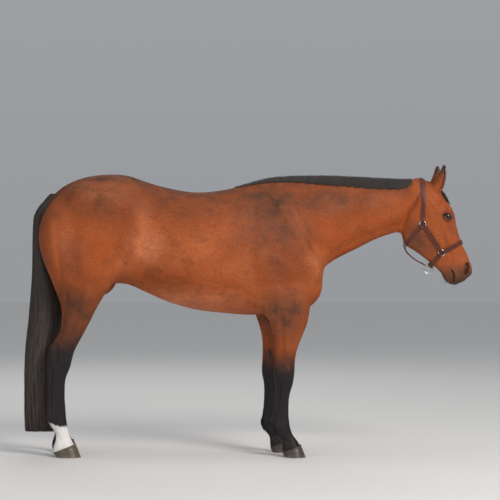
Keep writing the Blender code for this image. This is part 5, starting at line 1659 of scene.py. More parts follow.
def tail_core():
    """The dock at the top and the dense inside of the hair below it."""
    rings = []
    turn = round_turn(40)
    for z in np.linspace(TAIL_TOP, TAIL_BOTTOM + 0.004, 60):
        share = 0.80 + 0.05 * np.sin(turn * 9 + z * 12) + 0.03 * np.sin(turn * 17 - z * 23)
        share *= 0.72 + 0.28 * smooth(TAIL_TOP - z, 0.0, 0.06)
        rings.append(tail_place(np.full(40, z), turn, share))
    obj = loft("tail_core", rings)
    add_number(obj, "along", smooth(read(obj.data.vertices, "co", 3)[:, 2], 1.4, 0.2))
    add_number(obj, "tone", 0.55)
    return wear(obj, "long_hair")


# ---------------------------------------------------------------- the coat
UNWRAP_FACES = 9000
UNWRAP_ANGLE, UNWRAP_GAP = math.radians(66), 0.004
FETLOCK_HEIGHT = 0.165
WHISKERS = 60
WHORL = 0.215  # how far down the face the whorl lies
TUFT_ROUND = 0.32  # how far a tuft's shading leans to its sides
TUFT_JITTER = 0.16  # radians that a tuft turns out of the lie of the coat
TUFT_FACES = np.array(((0, 2, 1), (0, 3, 2), (2, 3, 1), (0, 1, 3)))
NECK_FROM, BARREL_FROM, BARREL_TO = 0.36, -0.05, -0.58  # x where the coat's pieces part
FORELEG_TOP, HINDLEG_TOP, BELLY, COAT_BOTTOM = 0.82, 0.95, 0.70, 0.045  # and z
# The coat's pieces: how many tufts each has, and where it lies.
COAT = {
    "coat_head": (46000, lambda p: smooth(in_head(p), -0.001, 0.001)),
    "coat_neck": (
        34000,
        lambda p: smooth(in_head(p), 0.001, -0.001) * (p[:, 0] > NECK_FROM) * (p[:, 2] > FORELEG_TOP),
    ),
    "coat_shoulders": (
        30000,
        lambda p: (p[:, 0] <= NECK_FROM) * (p[:, 0] > BARREL_FROM) * (p[:, 2] > FORELEG_TOP),
    ),
    "coat_barrel": (36000, lambda p: (p[:, 0] <= BARREL_FROM) * (p[:, 0] > BARREL_TO) * (p[:, 2] > BELLY)),
    "coat_hindquarters": (38000, lambda p: (p[:, 0] <= BARREL_TO) * (p[:, 2] > HINDLEG_TOP)),
    "coat_forelegs": (
        24000,
        lambda p: (p[:, 0] > BARREL_FROM) * (p[:, 2] <= FORELEG_TOP) * (p[:, 2] > COAT_BOTTOM),
    ),
    "coat_hindlegs": (
        26000,
        lambda p: (p[:, 0] <= BARREL_TO) * (p[:, 2] <= HINDLEG_TOP) * (p[:, 2] > COAT_BOTTOM),
    ),
}


def unwrap_of(flesh):
    """A function from places to their places on one flat unwrap of a plain copy of the flesh."""
    plain = new_object("unwrap", flesh.data.copy())
    thin = plain.modifiers.new("Decimate", "DECIMATE")
    thin.ratio = UNWRAP_FACES / (2 * len(plain.data.polygons))
    thin.use_collapse_triangulate = True
    freeze(plain)
    for obj in bpy.context.selected_objects:
        obj.select_set(False)
    bpy.context.view_layer.objects.active = plain
    plain.select_set(True)
    bpy.ops.object.mode_set(mode="EDIT")
    bpy.ops.mesh.select_all(action="SELECT")
    bpy.ops.uv.smart_project(angle_limit=UNWRAP_ANGLE, island_margin=UNWRAP_GAP)
    bpy.ops.object.mode_set(mode="OBJECT")
    mesh = plain.data
    corners = read(mesh.polygons, "vertices", 3, int)
    places = read(mesh.vertices, "co", 3)
    flat = read(mesh.uv_layers.active.uv, "vector", 2).reshape(-1, 3, 2)
    tree = surface_tree(plain)
    bpy.data.objects.remove(plain)

    def atlas(points):
        hits = [tree.find_nearest(Vector(p)) for p in points]
        face = np.array([hit[2] for hit in hits])
        near = np.array([hit[0] for hit in hits])
        a, b, c = (places[corners[face, k]] for k in range(3))
        area = np.linalg.norm(np.cross(b - a, c - a), axis=1)
        weights = [
            np.linalg.norm(np.cross(q - near, r - near), axis=1) / np.maximum(area, 1e-12)
            for q, r in ((b, c), (c, a), (a, b))
        ]
        share = np.stack(weights, axis=1)
        share /= share.sum(axis=1)[:, None]
        return (flat[face] * share[..., None]).sum(axis=1)

    return atlas


def lie_of_coat(p):
    """Which way the hair lies at each place: back and down the body, down the legs and down the face."""
    head = smooth(in_head(p), -0.02, 0.08)[:, None]
    low = smooth(p[:, 2], 1.00, 0.80)[:, None]
    chest = (smooth(p[:, 0], 0.25, 0.42) * smooth(p[:, 2], 1.30, 1.15))[:, None]
    neck = smooth(p[:, 0], 0.30, 0.60)[:, None]
    side = np.sign(p[:, 1])[:, None] * np.array((0.0, 1.0, 0.0))
    back = np.array((-1.0, 0.0, -0.45)) + 0.35 * side * smooth(p[:, 2], 1.35, 1.55)[:, None]
    flank = (bell(p[:, 0] + 0.60, 0.12) * bell(p[:, 2] - 1.12, 0.14))[:, None]
    way = back * (1 - neck) + np.array((-0.80, 0.0, -0.70)) * neck
    way = way * (1 - flank) + np.array((0.15, 0.0, 0.9)) * flank
    way = way * (1 - chest) + (np.array((-0.1, 0.0, -1.0)) + 0.4 * side) * chest
    way = way * (1 - low) + np.array((-0.12, 0.0, -1.0)) * low
    axes = head_axes(p)
    cheek = smooth(axes[:, 1], 0.02, -0.06)[:, None]
    from_whorl = np.stack([axes[:, 0] - WHORL, np.abs(p[:, 1]) + 0.004], axis=1)
    spread = unit(from_whorl) * smooth(np.linalg.norm(from_whorl, axis=1), 0.150, 0.030)[:, None]
    face = FACE_DOWN * (spread[:, :1] + 1 - np.linalg.norm(spread, axis=1)[:, None]) + side * spread[:, 1:]
    face = face * (1 - cheek) + np.array((-0.45, 0.0, -0.9)) * cheek
    return unit(way * (1 - head) + face * head)


def skin_samples(skin, weight_of, count, rng):
    """Random places on the skin's faces, with their normals. weight_of gives how thick the coat is there."""
    mesh = skin.data
    mesh.calc_loop_triangles()
    corners = read(mesh.loop_triangles, "vertices", 3, int)
    places = read(mesh.vertices, "co", 3)
    normals = read(mesh.vertex_normals, "vector", 3)
    a, b, c = (places[corners[:, k]] for k in range(3))
    middle = (a + b + c) / 3
    area = np.linalg.norm(np.cross(b - a, c - a), axis=1) / 2
    weight = area * weight_of(middle)
    pick = np.searchsorted(np.cumsum(weight), rng.uniform(0, weight.sum(), count))
    pick = np.minimum(pick, len(area) - 1)
    u, v = rng.uniform(size=(2, count))
    over = u + v > 1
    u, v = np.where(over, 1 - u, u)[:, None], np.where(over, 1 - v, v)[:, None]
    corner = corners[pick]
    place = places[corner[:, 0]] * (1 - u - v) + places[corner[:, 1]] * u + places[corner[:, 2]] * v
    normal = normals[corner[:, 0]] * (1 - u - v) + normals[corner[:, 1]] * u + normals[corner[:, 2]] * v
    return place, unit(normal)


def tufts(name, place, normal, atlas, rng):
    """One mesh of short tufts, each a thin closed sliver with a ridge, that lie along the body."""
    many = len(place)
    length, width, rise = size_of_tufts(place, normal)
    way = lie_of_coat(place)
    way = unit(way - normal * (way * normal).sum(axis=1)[:, None] + 1e-6)
    turn = rng.normal(0, TUFT_JITTER, many)[:, None]
    across = np.cross(normal, way)
    way, across = way * np.cos(turn) + across * np.sin(turn), across * np.cos(turn) - way * np.sin(turn)
    size = rng.uniform(0.75, 1.25, many)
    length, width = (length * size)[:, None], (width * size)[:, None]
    lift = (rise * rng.uniform(0.6, 1.2, many))[:, None]
    root = place - normal * 0.0003
    left, right = root - across * width / 2, root + across * width / 2
    ridge = root + way * length * 0.35 + normal * (lift * 0.75 + 0.0003)
    tip = root + way * length + normal * lift
    verts = np.stack([left, right, ridge, tip], axis=1)
    faces = (TUFT_FACES + 4 * np.arange(many)[:, None, None]).reshape(-1, 3)
    obj = mesh_object(name, verts.reshape(-1, 3), faces)
    lean = across * TUFT_ROUND
    soft = np.stack([normal - lean, normal + lean, normal, normal + way * 0.25], axis=1)
    obj.data.normals_split_custom_set_from_vertices(unit(soft).reshape(-1, 3))
    paint(obj, np.repeat(marks(place), 4, axis=0), np.repeat(rng.uniform(0.84, 1.12, many), 4))
    return wear(map_patches(obj, place, atlas), "coat")


def cover_of_coat(p):
    """Where the coat grows: not on the eyes' openings, the nostrils, the lips' edge and inside the hooves."""
    cover = np.ones(len(p))
    for side in (-1, 1):
        near = np.flatnonzero(np.linalg.norm(p - eye_centre(side), axis=1) < 0.06)
        near = near[p[near, 1] * side > 0]
        cover[near] *= smooth(eye_frame(p[near], side)[3], 0.0015, 0.0040)
    axes = head_axes(p)
    muzzle = np.flatnonzero((in_head(p) > 0) & (axes[:, 0] > 0.50))
    cover[muzzle] *= smooth(to_outline(axes[muzzle], NOSTRIL_OUTLINE), 0.0, 0.006)
    cover[muzzle] *= smooth(to_line(axes[muzzle], MOUTH)[0], 0.003, 0.008)
    cover *= smooth(over_hoof(p), -0.008, -0.002)
    return cover


def over_hoof(p):
    """How high each place is above the coronet of the nearest hoof."""
    above = []
    for row, back in ((FORE_HOOF, LEFT_FORE_BACK), (HIND_HOOF, LEFT_HIND_BACK)):
        x_front, z_front, x_heel, z_heel = row[:4]
        x = p[:, 0] + np.where(p[:, 1] > 0, back, 0.0)
        above.append(p[:, 2] - z_heel - (x - x_heel) * (z_front - z_heel) / (x_front - x_heel))
    return np.where(p[:, 0] > BETWEEN_LEGS, *above)


def size_of_tufts(p, normal):
    """Length, width and rise of the tufts at each place: short on the face and feet, longest on the body."""
    head, low = smooth(in_head(p), -0.05, 0.03), smooth(p[:, 2], 0.95, 0.55)
    small = np.maximum(head, low)
    length, width = 0.0145 - 0.0060 * small, 0.0021 - 0.0008 * small
    nose = smooth(head_axes(p)[:, 0], 0.30, 0.55) * head
    length, width = length * (1 - 0.35 * nose), width * (1 - 0.25 * nose)
    in_ear = smooth(p[:, 2], 1.50, 1.53) * smooth(normal[:, 0], 0.30, 0.60) * head
    heel = low * smooth(np.abs(p[:, 2] - FETLOCK_HEIGHT), 0.045, 0.020) * smooth(normal[:, 0], -0.35, -0.75)
    coronet = smooth(over_hoof(p), 0.018, 0.008) * smooth(over_hoof(p), -0.010, -0.002)
    length = length * (1 + 0.9 * in_ear + 0.9 * heel + 0.6 * coronet)
    return length, width, length * (0.075 + 0.20 * in_ear + 0.12 * heel + 0.10 * coronet)


def whiskers(skin, rng):
    """Long stiff hairs round the mouth."""

    def share(p):
        axes = head_axes(p)
        low = smooth(axes[:, 0], 0.555, 0.590) * smooth(axes[:, 1], 0.020, -0.020)
        return low * smooth(in_head(p), 0.0, 0.01)

    place, normal = skin_samples(skin, share, WHISKERS, rng)
    length = rng.uniform(0.010, 0.026, WHISKERS)[:, None, None]
    way = unit(normal + 0.5 * lie_of_coat(place) + rng.normal(0.0, 0.12, (WHISKERS, 3)))
    t = np.linspace(0.0, 1.0, 5)[None, :, None]
    paths = place[:, None] + way[:, None] * t * length + np.array((0.0, 0.0, -0.25)) * t**2 * length
    obj = strands("whiskers", paths, 0.0005, 0.0004, np.cross(way, (0.3, 0.9, 0.1)), 0.15)
    return give_tones(obj, np.full(WHISKERS, LASH_TONE), "lash")


def whole_coat(skin, atlas, rng):
    pieces = []
    for name, (count, region) in COAT.items():
        place, normal = skin_samples(skin, lambda p: region(p) * cover_of_coat(p), count, rng)
        pieces.append(tufts(name, place, normal, atlas, rng))
    return pieces


# ---------------------------------------------------------------- head collar
LEATHER_LIFT = 0.0009  # of a strap off the flesh
LEATHER_THICK = 0.0048
LOOP_THICK = 0.0024  # of a strap where it goes round a ring
LOOP_HALF = 0.0100  # half its width there
LOOP_START = 0.034  # how far from the ring's middle it begins to narrow
RING_RADIUS, RING_TUBE, RING_HEIGHT = 0.0175, 0.0033, 0.0046
STITCH_AT = 0.80  # share of a strap's half width
STITCH_PITCH = 0.0052
STITCH_SKIP = 11  # stations without stitches at each end of a strap
BUCKLE_AT = 0.74  # share of the crown strap's length
END_FROM, END_TO, KEEPERS_AT = -17, 3, (-5, -12)  # stations from the buckle's
END_WIDTH, END_THICK, END_POINT = 0.88, 0.62, 0.10  # of the strap, and share of the length that is the point
DOUBLED = 1.62  # how much thicker the strap is under the keepers
PAD_RADIUS = 0.0215
PAD_PROFILE = (  # size, rise
    (0.90, -0.0012),
    (0.97, -0.0008),
    (1.0, 0.0002),
    (0.98, 0.0012),
    (0.92, 0.0016),
    (0.60, 0.0010),
    (0.05, 0.0008),
)
KEEPER_THICK, KEEPER_HALF, KEEPER_GROW = 0.0022, 0.0045, 0.0012
KEEPER_PROFILE = (  # along, rise
    (-1, 0.0),
    (-1, 0.6),
    (-0.85, 1.0),
    (0.85, 1.0),
    (1, 0.6),
    (1, 0.0),
    (0.8, -0.2),
    (-0.8, -0.2),
)
STRAP_STATIONS, SIDE_STATIONS, JAW_STATIONS = 90, 60, 26
EDGE_KEEPER, EDGE_JAW, EDGE_LOOP = 0.3, 0.25, 0.4  # how worn the small parts are
STRAPS = (  # name, ring that it hangs on, the ring's place, where it goes, degrees where it starts, sag
    ("crown_strap", "cheek", CHEEK_FITTING, POLL_STRAP, 8.0, 0.0),
    ("throat_strap", "cheek", CHEEK_FITTING, JAW_CORNER, 8.0, 0.0),
    ("noseband", "nose", NOSE_RING, NOSE_BRIDGE, 11.0, 0.0),
    ("chin_strap", "nose", NOSE_RING, CHIN_STRAP, 11.0, CHIN_SAG),
)
STRAP_PROFILE = (  # across, and out of the flesh
    (-1.00, 0.34),
    (-0.985, 0.12),
    (-0.94, 0.0),
    (0.0, 0.0),
    (0.94, 0.0),
    (0.985, 0.12),
    (1.00, 0.34),
    (1.00, 0.66),
    (0.975, 0.88),
    (0.92, 0.98),
    (0.84, 0.95),
    (0.76, 0.98),
    (0.55, 1.03),
    (0.0, 1.05),
    (-0.55, 1.03),
    (-0.76, 0.98),
    (-0.84, 0.95),
    (-0.92, 0.98),
    (-0.975, 0.88),
    (-1.00, 0.66),
)


def turn_of(a, b, c):
    return (b[0] - a[0]) * (c[1] - a[1]) - (b[1] - a[1]) * (c[0] - a[0])


def hull(points):
    """The corners of the convex outline of points in a plane, in order."""
    ordered = sorted(map(tuple, points))
    chains = []
    for run in (ordered, ordered[::-1]):
        chain = []
        for p in run:
            while len(chain) > 1 and turn_of(chain[-2], chain[-1], p) <= 0:
                chain.pop()
            chain.append(p)
        chains.append(chain[:-1])
    return np.array(chains[0] + chains[1])


def evenly(path, count):
    """The path again, with evenly spaced points."""
    at = distances(path[:, :3])
    return read_off(np.linspace(0.0, at[-1], count), at, path)


def evened(path, rounds):
    """The path with each point drawn in between its neighbours, some rounds over."""
    for _ in range(rounds):
        path[1:-1] += (path[:-2] + path[2:] - 2 * path[1:-1]) * 0.25
    return path


def wrap(tree, start, towards, offset, first, sag):
    """Points over the flesh in one plane, from the right side to the left, where a taut strap would lie.

    The plane holds the line start to towards of the side view, moved by offset square to it. `first` is
    where the strap begins: degrees from straight out to the right, at start, round towards `towards`.
    It lies `sag` further off the flesh in the middle.
    """
    way = unit(np.array((towards[0] - start[0], 0.0, towards[1] - start[1])))
    square = np.array((-way[2], 0.0, way[0]))
    centre = np.array((start[0], 0.0, start[1])) + square * offset
    right = np.array((0.0, -1.0, 0.0))
    turns = np.radians(np.linspace(-20.0, 200.0, 111))
    looks = np.cos(turns)[:, None] * right + np.sin(turns)[:, None] * way
    skin = np.array([hit_from_outside(tree, centre, look) for look in looks]) - centre
    outline = hull(np.stack([skin @ right, skin @ way], axis=1))
    outline = evenly(np.concatenate([outline, outline[:1]]), 1500)[:-1]
    angle = np.degrees(np.arctan2(outline[:, 1], outline[:, 0]))
    keep = (angle >= first) & (angle <= 180.0 - first)
    path = evened(evenly(outline[keep][np.argsort(angle[keep])], STRAP_STATIONS), 4)
    slope = np.gradient(path, axis=0)
    out = unit(np.stack([slope[:, 1], -slope[:, 0]], axis=1))
    hang = sag * np.sin(np.linspace(0.0, math.pi, STRAP_STATIONS)) ** 4
    path = path + out * (LEATHER_LIFT + hang)[:, None]
    spread = np.stack([right, way])
    return centre + path @ spread, out @ spread


def cheek_frame(tree, place, side):
    """Where a ring's middle lies on the cheek, and which way is out of the cheek there."""
    middle = np.array((place[0], 0.0, place[1]))
    rim = middle + RING_RADIUS * rays(16, np.array((1.0, 0.0, 0.0)), np.array((0.0, 0.0, 1.0)))
    spots = np.array([hit_from_outside(tree, spot, (0, side, 0)) for spot in (middle, *rim)])
    middle = spots.mean(axis=0)
    _, _, axes = np.linalg.svd(spots - middle)
    out = axes[2] * np.sign(axes[2][1] * side)
    level = max((p - middle) @ out for p in spots)
    return middle + out * level, out


def strap_run(near, far, out):
    """A strap's stations: inner middle, half its width as a vector, way out, thickness, pull at the edges."""
    thick = np.full(len(near), LEATHER_THICK)
    return [(near + far) / 2, (far - near) / 2, unit(out), thick, np.zeros_like(near)]


def loop_on(run, centre, out):
    """Leads the first end of a strap over a ring at this centre and back under it."""
    away = np.linalg.norm(run[0] - centre, axis=1)
    first = int(np.argmax(away > LOOP_START))
    run = [part[first:] for part in run]
    start = run[0][0] - centre
    along = unit(start - out * (start @ out))
    side = unit(np.cross(out, along))
    side = side * np.sign(side @ run[1][0])
    axial, level = start @ along, start @ out
    t = np.linspace(0.0, 1.0, 9)[1:-1]
    turn = np.radians(np.arange(90.0, 271.0, 20.0))
    flat = np.concatenate([
        np.stack([
            axial + (RING_RADIUS - axial) * t,
            level + (RING_HEIGHT + RING_TUBE - level) * smooth(t, 0.0, 1.0),
        ], axis=1),
        np.stack([RING_RADIUS + RING_TUBE * np.cos(turn), RING_HEIGHT + RING_TUBE * np.sin(turn)], axis=1),
    ])
    slope = unit(np.gradient(np.concatenate([[(axial, level)], flat]), axis=0)[1:])
    up = np.stack([slope[:, 1], -slope[:, 0]], axis=1)
    share = np.minimum(np.arange(1, len(flat) + 1) / 8.0, 1.0)[:, None]
    width = np.linalg.norm(run[1][0])
    ends = [
        centre + flat[:, :1] * along + flat[:, 1:] * out,
        unit(run[1][0] * (1 - share) + side * width * share) * (width + (LOOP_HALF - width) * share),
        unit(up[:, :1] * along + up[:, 1:] * out),
        LEATHER_THICK + (LOOP_THICK - LEATHER_THICK) * share[:, 0],
        -along * share * LOOP_HALF**2 / (2 * RING_RADIUS),
    ]
    return [np.concatenate([end[::-1], part]) for end, part in zip(ends, run)]


def looped(run, first, last):
    """A strap led over a ring at each end. A ring is its centre and the way out of the cheek there."""
    back = loop_on([part[::-1] for part in loop_on(run, *first)], *last)
    return [part[::-1] for part in back]


def strap(name, run):
    """A solid strap with rounded edges along its stations."""
    middle, across, out, thick, pull = run
    u, h = np.array(STRAP_PROFILE).T
    rings = (
        middle[:, None]
        + across[:, None] * u[None, :, None]
        + out[:, None] * (thick[:, None] * h)[..., None]
        + pull[:, None] * (u**2)[None, :, None]
    )
    obj = loft(name, rings)
    add_number(obj, "edge", np.tile(smooth(np.abs(u), 0.80, 1.0), len(middle)))
    return wear(obj, "leather")


def stitch_rows(run):
    """Where stitches lie along both edges of a strap: three points of each, and the way out there."""
    middle, across, out, thick, pull = (part[STITCH_SKIP:-STITCH_SKIP] for part in run)
    rows = []
    for u in (-STITCH_AT, STITCH_AT):
        top = middle + across * u + out * (thick * 1.02)[:, None] + pull * u**2
        count = max(int(distances(top)[-1] / STITCH_PITCH), 2)
        line = evenly(np.concatenate([top, out], axis=1), count * 3 + 1)
        rows.append(np.stack([line[0:-3:3], line[1:-2:3], line[2:-1:3]], axis=1))
    return np.concatenate(rows)


def stitching(name, rows):
    """All the stitches, each a short thread a little sunk in the leather."""
    rows = np.concatenate(rows)
    paths, out = rows[..., :3], unit(rows[..., 3:])
    sunk = np.array((-0.0004, 0.0001, -0.0004))[None, :, None]
    return wear(strands(name, paths + out * sunk, 0.0011, 0.0006, out, 0.7), "thread")


def rays_about(axis, count):
    """Unit vectors all round an axis."""
    first = unit(np.cross(axis, (0.3, 0.1, 0.9)))
    return rays(count, first, np.cross(axis, first))


def torus(name, centre, axis, radius, tube, majors=48, minors=14):
    """A ring of steel, or of leather where it is worn in that after."""
    axis = unit(np.array(axis, float))
    spin = round_turn(minors)[:, None]
    ways = rays_about(axis, majors)[:, None]
    rings = centre + ways * (radius + tube * np.cos(spin)) + axis * (tube * np.sin(spin))
    return wear(loft(name, rings, closed=True), "steel")


def keeper(run, station):
    """A closed loop of leather round a strap at one of its stations."""
    middle, across, out, deep, _ = (part[station] for part in run)
    width, deep = np.linalg.norm(across) + KEEPER_GROW, deep / 2 + KEEPER_GROW
    side = unit(across)
    along = unit(np.cross(side, out))
    turn = round_turn(40)[:, None]
    u, h = signed_power(np.cos(turn), 0.35), signed_power(np.sin(turn), 0.35)
    rings = []
    for a, r in KEEPER_PROFILE:
        ring = middle + out * deep + along * a * KEEPER_HALF
        rings.append(ring + side * (u * (width + r * KEEPER_THICK)) + out * (h * (deep + r * KEEPER_THICK)))
    return loft("keeper", rings, closed=True)


def buckle(run, station):
    """The frame and the tongue of a buckle on top of a strap."""
    middle, across, out, thick, _ = (part[station] for part in run)
    side, half = unit(across), np.linalg.norm(across)
    along = unit(run[0][station + 1] - run[0][station - 1])
    top = middle + out * (thick + 0.0032)
    turn = round_turn(48)[:, None]
    u, v = signed_power(np.cos(turn), 0.45), signed_power(np.sin(turn), 0.45)
    path = top + side * (u * (half + 0.0045)) + along * (v * 0.0135)
    border = swept("border", path, np.broadcast_to(out, path.shape), round_profile(0.0046, 0.0040, 10), True)
    path = [top - along * 0.0130 + out * 0.003, top + out * 0.0052, top + along * 0.0150 + out * 0.0034]
    path = fill_in(path, 12)
    tongue = swept("tongue", path, np.broadcast_to(out, path.shape), round_profile(0.0034, 0.0028, 8))
    return wear(smoothed(joined("buckle", [border, tongue])), "steel")


def strap_end(run, low, high):
    """The stations of the crown strap's free end, on top of it, with its point."""
    middle, across, out, thick, pull = (part[low:high] for part in run)
    steps = np.linspace(0.0, 1.0, len(middle))
    point = np.sqrt(np.clip(steps / END_POINT, 0.02, 1.0))
    middle = middle + out * (thick * 0.98)[:, None]
    return [middle, across * (END_WIDTH * point)[:, None], out, thick * END_THICK, pull]


def holes(run):
    """Small steel eyelets down the middle of the strap end."""
    middle, _, out, thick, _ = run
    picks = np.linspace(len(middle) * 0.16, len(middle) * 0.52, 4).astype(int)
    rims = [torus("eyelet", middle[k] + out[k] * thick[k], out[k], 0.0024, 0.0006, 20, 8) for k in picks]
    return wear(smoothed(joined("strap_holes", rims)), "steel")


def side_run(tree, start, end, side):
    """Stations of a strap laid on one cheek from start to end."""
    start, end = (np.array((x, 0.0, z)) for x, z in (start, end))
    way = unit(end - start)
    square = np.array((-way[2], 0.0, way[0]))
    edges = []
    for offset in (-STRAP_WIDTH / 2, STRAP_WIDTH / 2):
        places = np.linspace(start, end, SIDE_STATIONS) + square * offset
        edges.append(np.array([hit_from_outside(tree, place, (0, side, 0)) for place in places]))
    near, far = edges
    middle, across = evened((near + far) / 2, 6), evened((far - near) / 2, 6)
    out = unit(np.cross(np.gradient(middle, axis=0), across))
    out = out * np.sign(out[:, 1] * side)[:, None]
    middle = middle + out * LEATHER_LIFT
    return strap_run(middle - across, middle + across, out)


def ring_pad(name, centre, out):
    """A round leather pad under a ring, that keeps it off the skin."""
    rim = rays_about(out, 48)
    obj = loft(name, [centre + rim * (PAD_RADIUS * size) + out * rise for size, rise in PAD_PROFILE])
    add_number(obj, "edge", np.repeat([size for size, _ in PAD_PROFILE], 48) ** 3)
    return wear(obj, "leather")


def small_leather(obj, edge):
    """The object in leather that is equally worn all over."""
    add_number(obj, "edge", edge)
    return wear(smoothed(obj), "leather")


def lead_parts(chin, throat):
    """The lead ring under the chin and the thin strap that joins it to the throat strap."""
    half = len(chin[0]) // 2
    middle = chin[0][half] + chin[2][half] * chin[3][half] / 2
    way = unit(np.array((CHIN_STRAP[0] - NOSE_RING[0], 0.0, CHIN_STRAP[1] - NOSE_RING[1])))
    centre = middle * np.array((1.0, 0.0, 1.0)) + way * LEAD_RING_RADIUS / 2
    ring = torus("lead_ring_steel", centre, (0, 1, 0), LEAD_RING_RADIUS, LEAD_RING_TUBE, 72, 18)
    path = fill_in([(x, 0.0, z) for x, z in JAW_STRAP_PATH], JAW_STATIONS)
    outs = np.cross(np.gradient(path, axis=0), (0.0, 1.0, 0.0))
    narrow = 1 - 0.45 * smooth(np.arange(JAW_STATIONS), 19, 25)
    shrink = np.stack([narrow, np.ones(JAW_STATIONS)], axis=1)[:, None]
    jaw = swept("jaw_strap_leather", path, outs, round_profile(*JAW_STRAP, 16, 3.0) * shrink)
    toward = unit(path[-1] - centre)
    low, square = centre + toward * LEAD_RING_RADIUS, np.cross(toward, (0, 1, 0))
    high = (path[0] + throat[0][len(throat[0]) // 2] * np.array((1.0, 0.0, 1.0))) / 2
    loop = torus("jaw_strap_loop", low, square, 0.0064, 0.0026, 24, 10)
    top = torus("jaw_strap_top", high, (0, 1, 0), 0.0075, 0.0028, 24, 10)
    return [
        (ring, "lead_ring", "steel"),
        (small_leather(jaw, EDGE_JAW), "jaw_strap", "leather"),
        (small_leather(loop, EDGE_LOOP), None, "leather"),
        (small_leather(top, EDGE_LOOP), None, "leather"),
    ]


def crown_parts(crown):
    """What lies on the crown strap at the left cheek: its end, the buckle, the eyelets and the keepers."""
    station = int(len(crown[0]) * BUCKLE_AT)
    end = strap_end(crown, station + END_FROM, station + END_TO)
    parts = [
        (strap("crown_strap_end", end), None, "leather"),
        (buckle(crown, station), None, "steel"),
        (holes(end), None, "steel"),
    ]
    doubled = [*crown[:3], crown[3] * DOUBLED, crown[4]]
    keepers = joined("crown_keepers", [keeper(doubled, station + step) for step in KEEPERS_AT])
    return [*parts, (small_leather(keepers, EDGE_KEEPER), None, "leather")]


def head_collar(tree):
    """Every piece of the collar: object, node that it replaces or None, and slot."""
    frames = {
        (ring, side): cheek_frame(tree, place, side)
        for ring, place in (("cheek", CHEEK_FITTING), ("nose", NOSE_RING))
        for side, _ in SIDES
    }
    made, rows, runs = [], [], {}
    for name, ring, start, towards, first, sag in STRAPS:
        (near, out), (far, far_out) = (
            wrap(tree, start, towards, offset, first, sag) for offset in (-STRAP_WIDTH / 2, STRAP_WIDTH / 2)
        )
        run = looped(strap_run(near, far, (out + far_out) / 2), frames[ring, -1], frames[ring, 1])
        runs[name] = run
        made.append((strap(f"{name}_leather", run), name, "leather"))
        rows.append(stitch_rows(run))
    for side, word in SIDES:
        run = side_run(tree, CHEEK_FITTING, NOSE_RING, side)
        run = looped(run, frames["cheek", side], frames["nose", side])
        made.append((strap(f"cheekpiece_{word}_leather", run), f"cheekpiece_{word}", "leather"))
        rows.append(stitch_rows(run))
        for ring in ("cheek", "nose"):
            centre, out = frames[ring, side]
            obj = torus(f"{ring}_ring_{word}", centre + out * RING_HEIGHT, out, RING_RADIUS, RING_TUBE)
            made.append((obj, f"{ring}_fitting_{word}", "steel"))
            made.append((ring_pad(f"{ring}_pad_{word}", centre, out), None, "leather"))
    made.append((stitching("halter_stitching", rows), None, "leather"))
    made += lead_parts(runs["chin_strap"], runs["throat_strap"])
    return made + crown_parts(runs["crown_strap"])


# ---------------------------------------------------------------- floor, lights and camera
CAMERA_AT = (0.0177, -10.43, 1.1654)
LENS, SENSOR, SEES_TO = 131.7, 36.0, 200.0
FLOOR_SIZE = 60.0
SKY = (0.88, 0.91, 0.96, 1.0)
SKY_STRENGTH = (("From Min", 0.0), ("From Max", 0.35), ("To Min", 0.352), ("To Max", 0.43))  # by height
LIGHTS = (  # name, place, size, power, colour
    ("key", (3.8, -6.0, 5.4), 3.0, 420.0, (1.0, 0.97, 0.93)),
    ("fill", (-5.0, -6.5, 1.9), 5.0, 85.0, (0.94, 0.97, 1.0)),
    ("rim", (-1.5, 6.5, 5.6), 4.0, 80.0, (1.0, 0.98, 0.95)),
    ("top", (0.0, 0.0, 7.5), 5.0, 60.0, (1.0, 1.0, 1.0)),
)


def sky():
    """An even light from all round, a little stronger from above."""
    world = bpy.data.worlds.new("studio")
    world.use_nodes = True
    bpy.context.scene.world = world
    tree = world.node_tree
    tree.nodes.clear()
    place, height, glow, light, out = (
        tree.nodes.new("ShaderNode" + kind)
        for kind in ("TexCoord", "SeparateXYZ", "MapRange", "Background", "OutputWorld")
    )
    light.inputs["Color"].default_value = SKY
    for key, value in SKY_STRENGTH:
        glow.inputs[key].default_value = value
    tree.links.new(place.outputs["Generated"], height.inputs["Vector"])
    tree.links.new(height.outputs["Z"], glow.inputs["Value"])
    tree.links.new(glow.outputs["Result"], light.inputs["Strength"])
    tree.links.new(light.outputs["Background"], out.inputs["Surface"])


def stage():
    corners = np.array(((-1, -1, 0), (1, -1, 0), (1, 1, 0), (-1, 1, 0))) * FLOOR_SIZE / 2
    floor = mesh_object("floor", corners, np.array([[0, 1, 2, 3]]), flat=True)
    floor_material()
    wear(floor, "floor")
    sky()
    for name, place, size, power, colour in LIGHTS:
        lamp = bpy.data.lights.new(name, "AREA")
        lamp.size, lamp.energy, lamp.color = size, power, colour
        lamp.shape = "DISK"
        obj = new_object(name, lamp)
        obj.location = place
        aim(obj, (0.0, 0.0, 1.0))
    camera = bpy.data.cameras.new("camera")
    camera.lens, camera.sensor_width, camera.clip_end = LENS, SENSOR, SEES_TO
    obj = new_object("camera", camera)
    obj.location = CAMERA_AT
    obj.rotation_euler = (math.pi / 2, 0.0, 0.0)
    bpy.context.scene.camera = obj
    bpy.context.scene.view_settings.view_transform = "Standard"


def aim(obj, place):
    way = Vector(place) - obj.location
    obj.rotation_mode = "QUATERNION"
    obj.rotation_quaternion = way.to_track_quat("-Z", "Y")


# ---------------------------------------------------------------- the whole
FLESH_NODES = ["head", "neck", "forequarters", "barrel", "hindquarters"] + [
    f"{part}_{word}"
    for part in ("fore_arm", "fore_cannon", "hind_gaskin", "hind_cannon", "ear")
    for _, word in SIDES
]
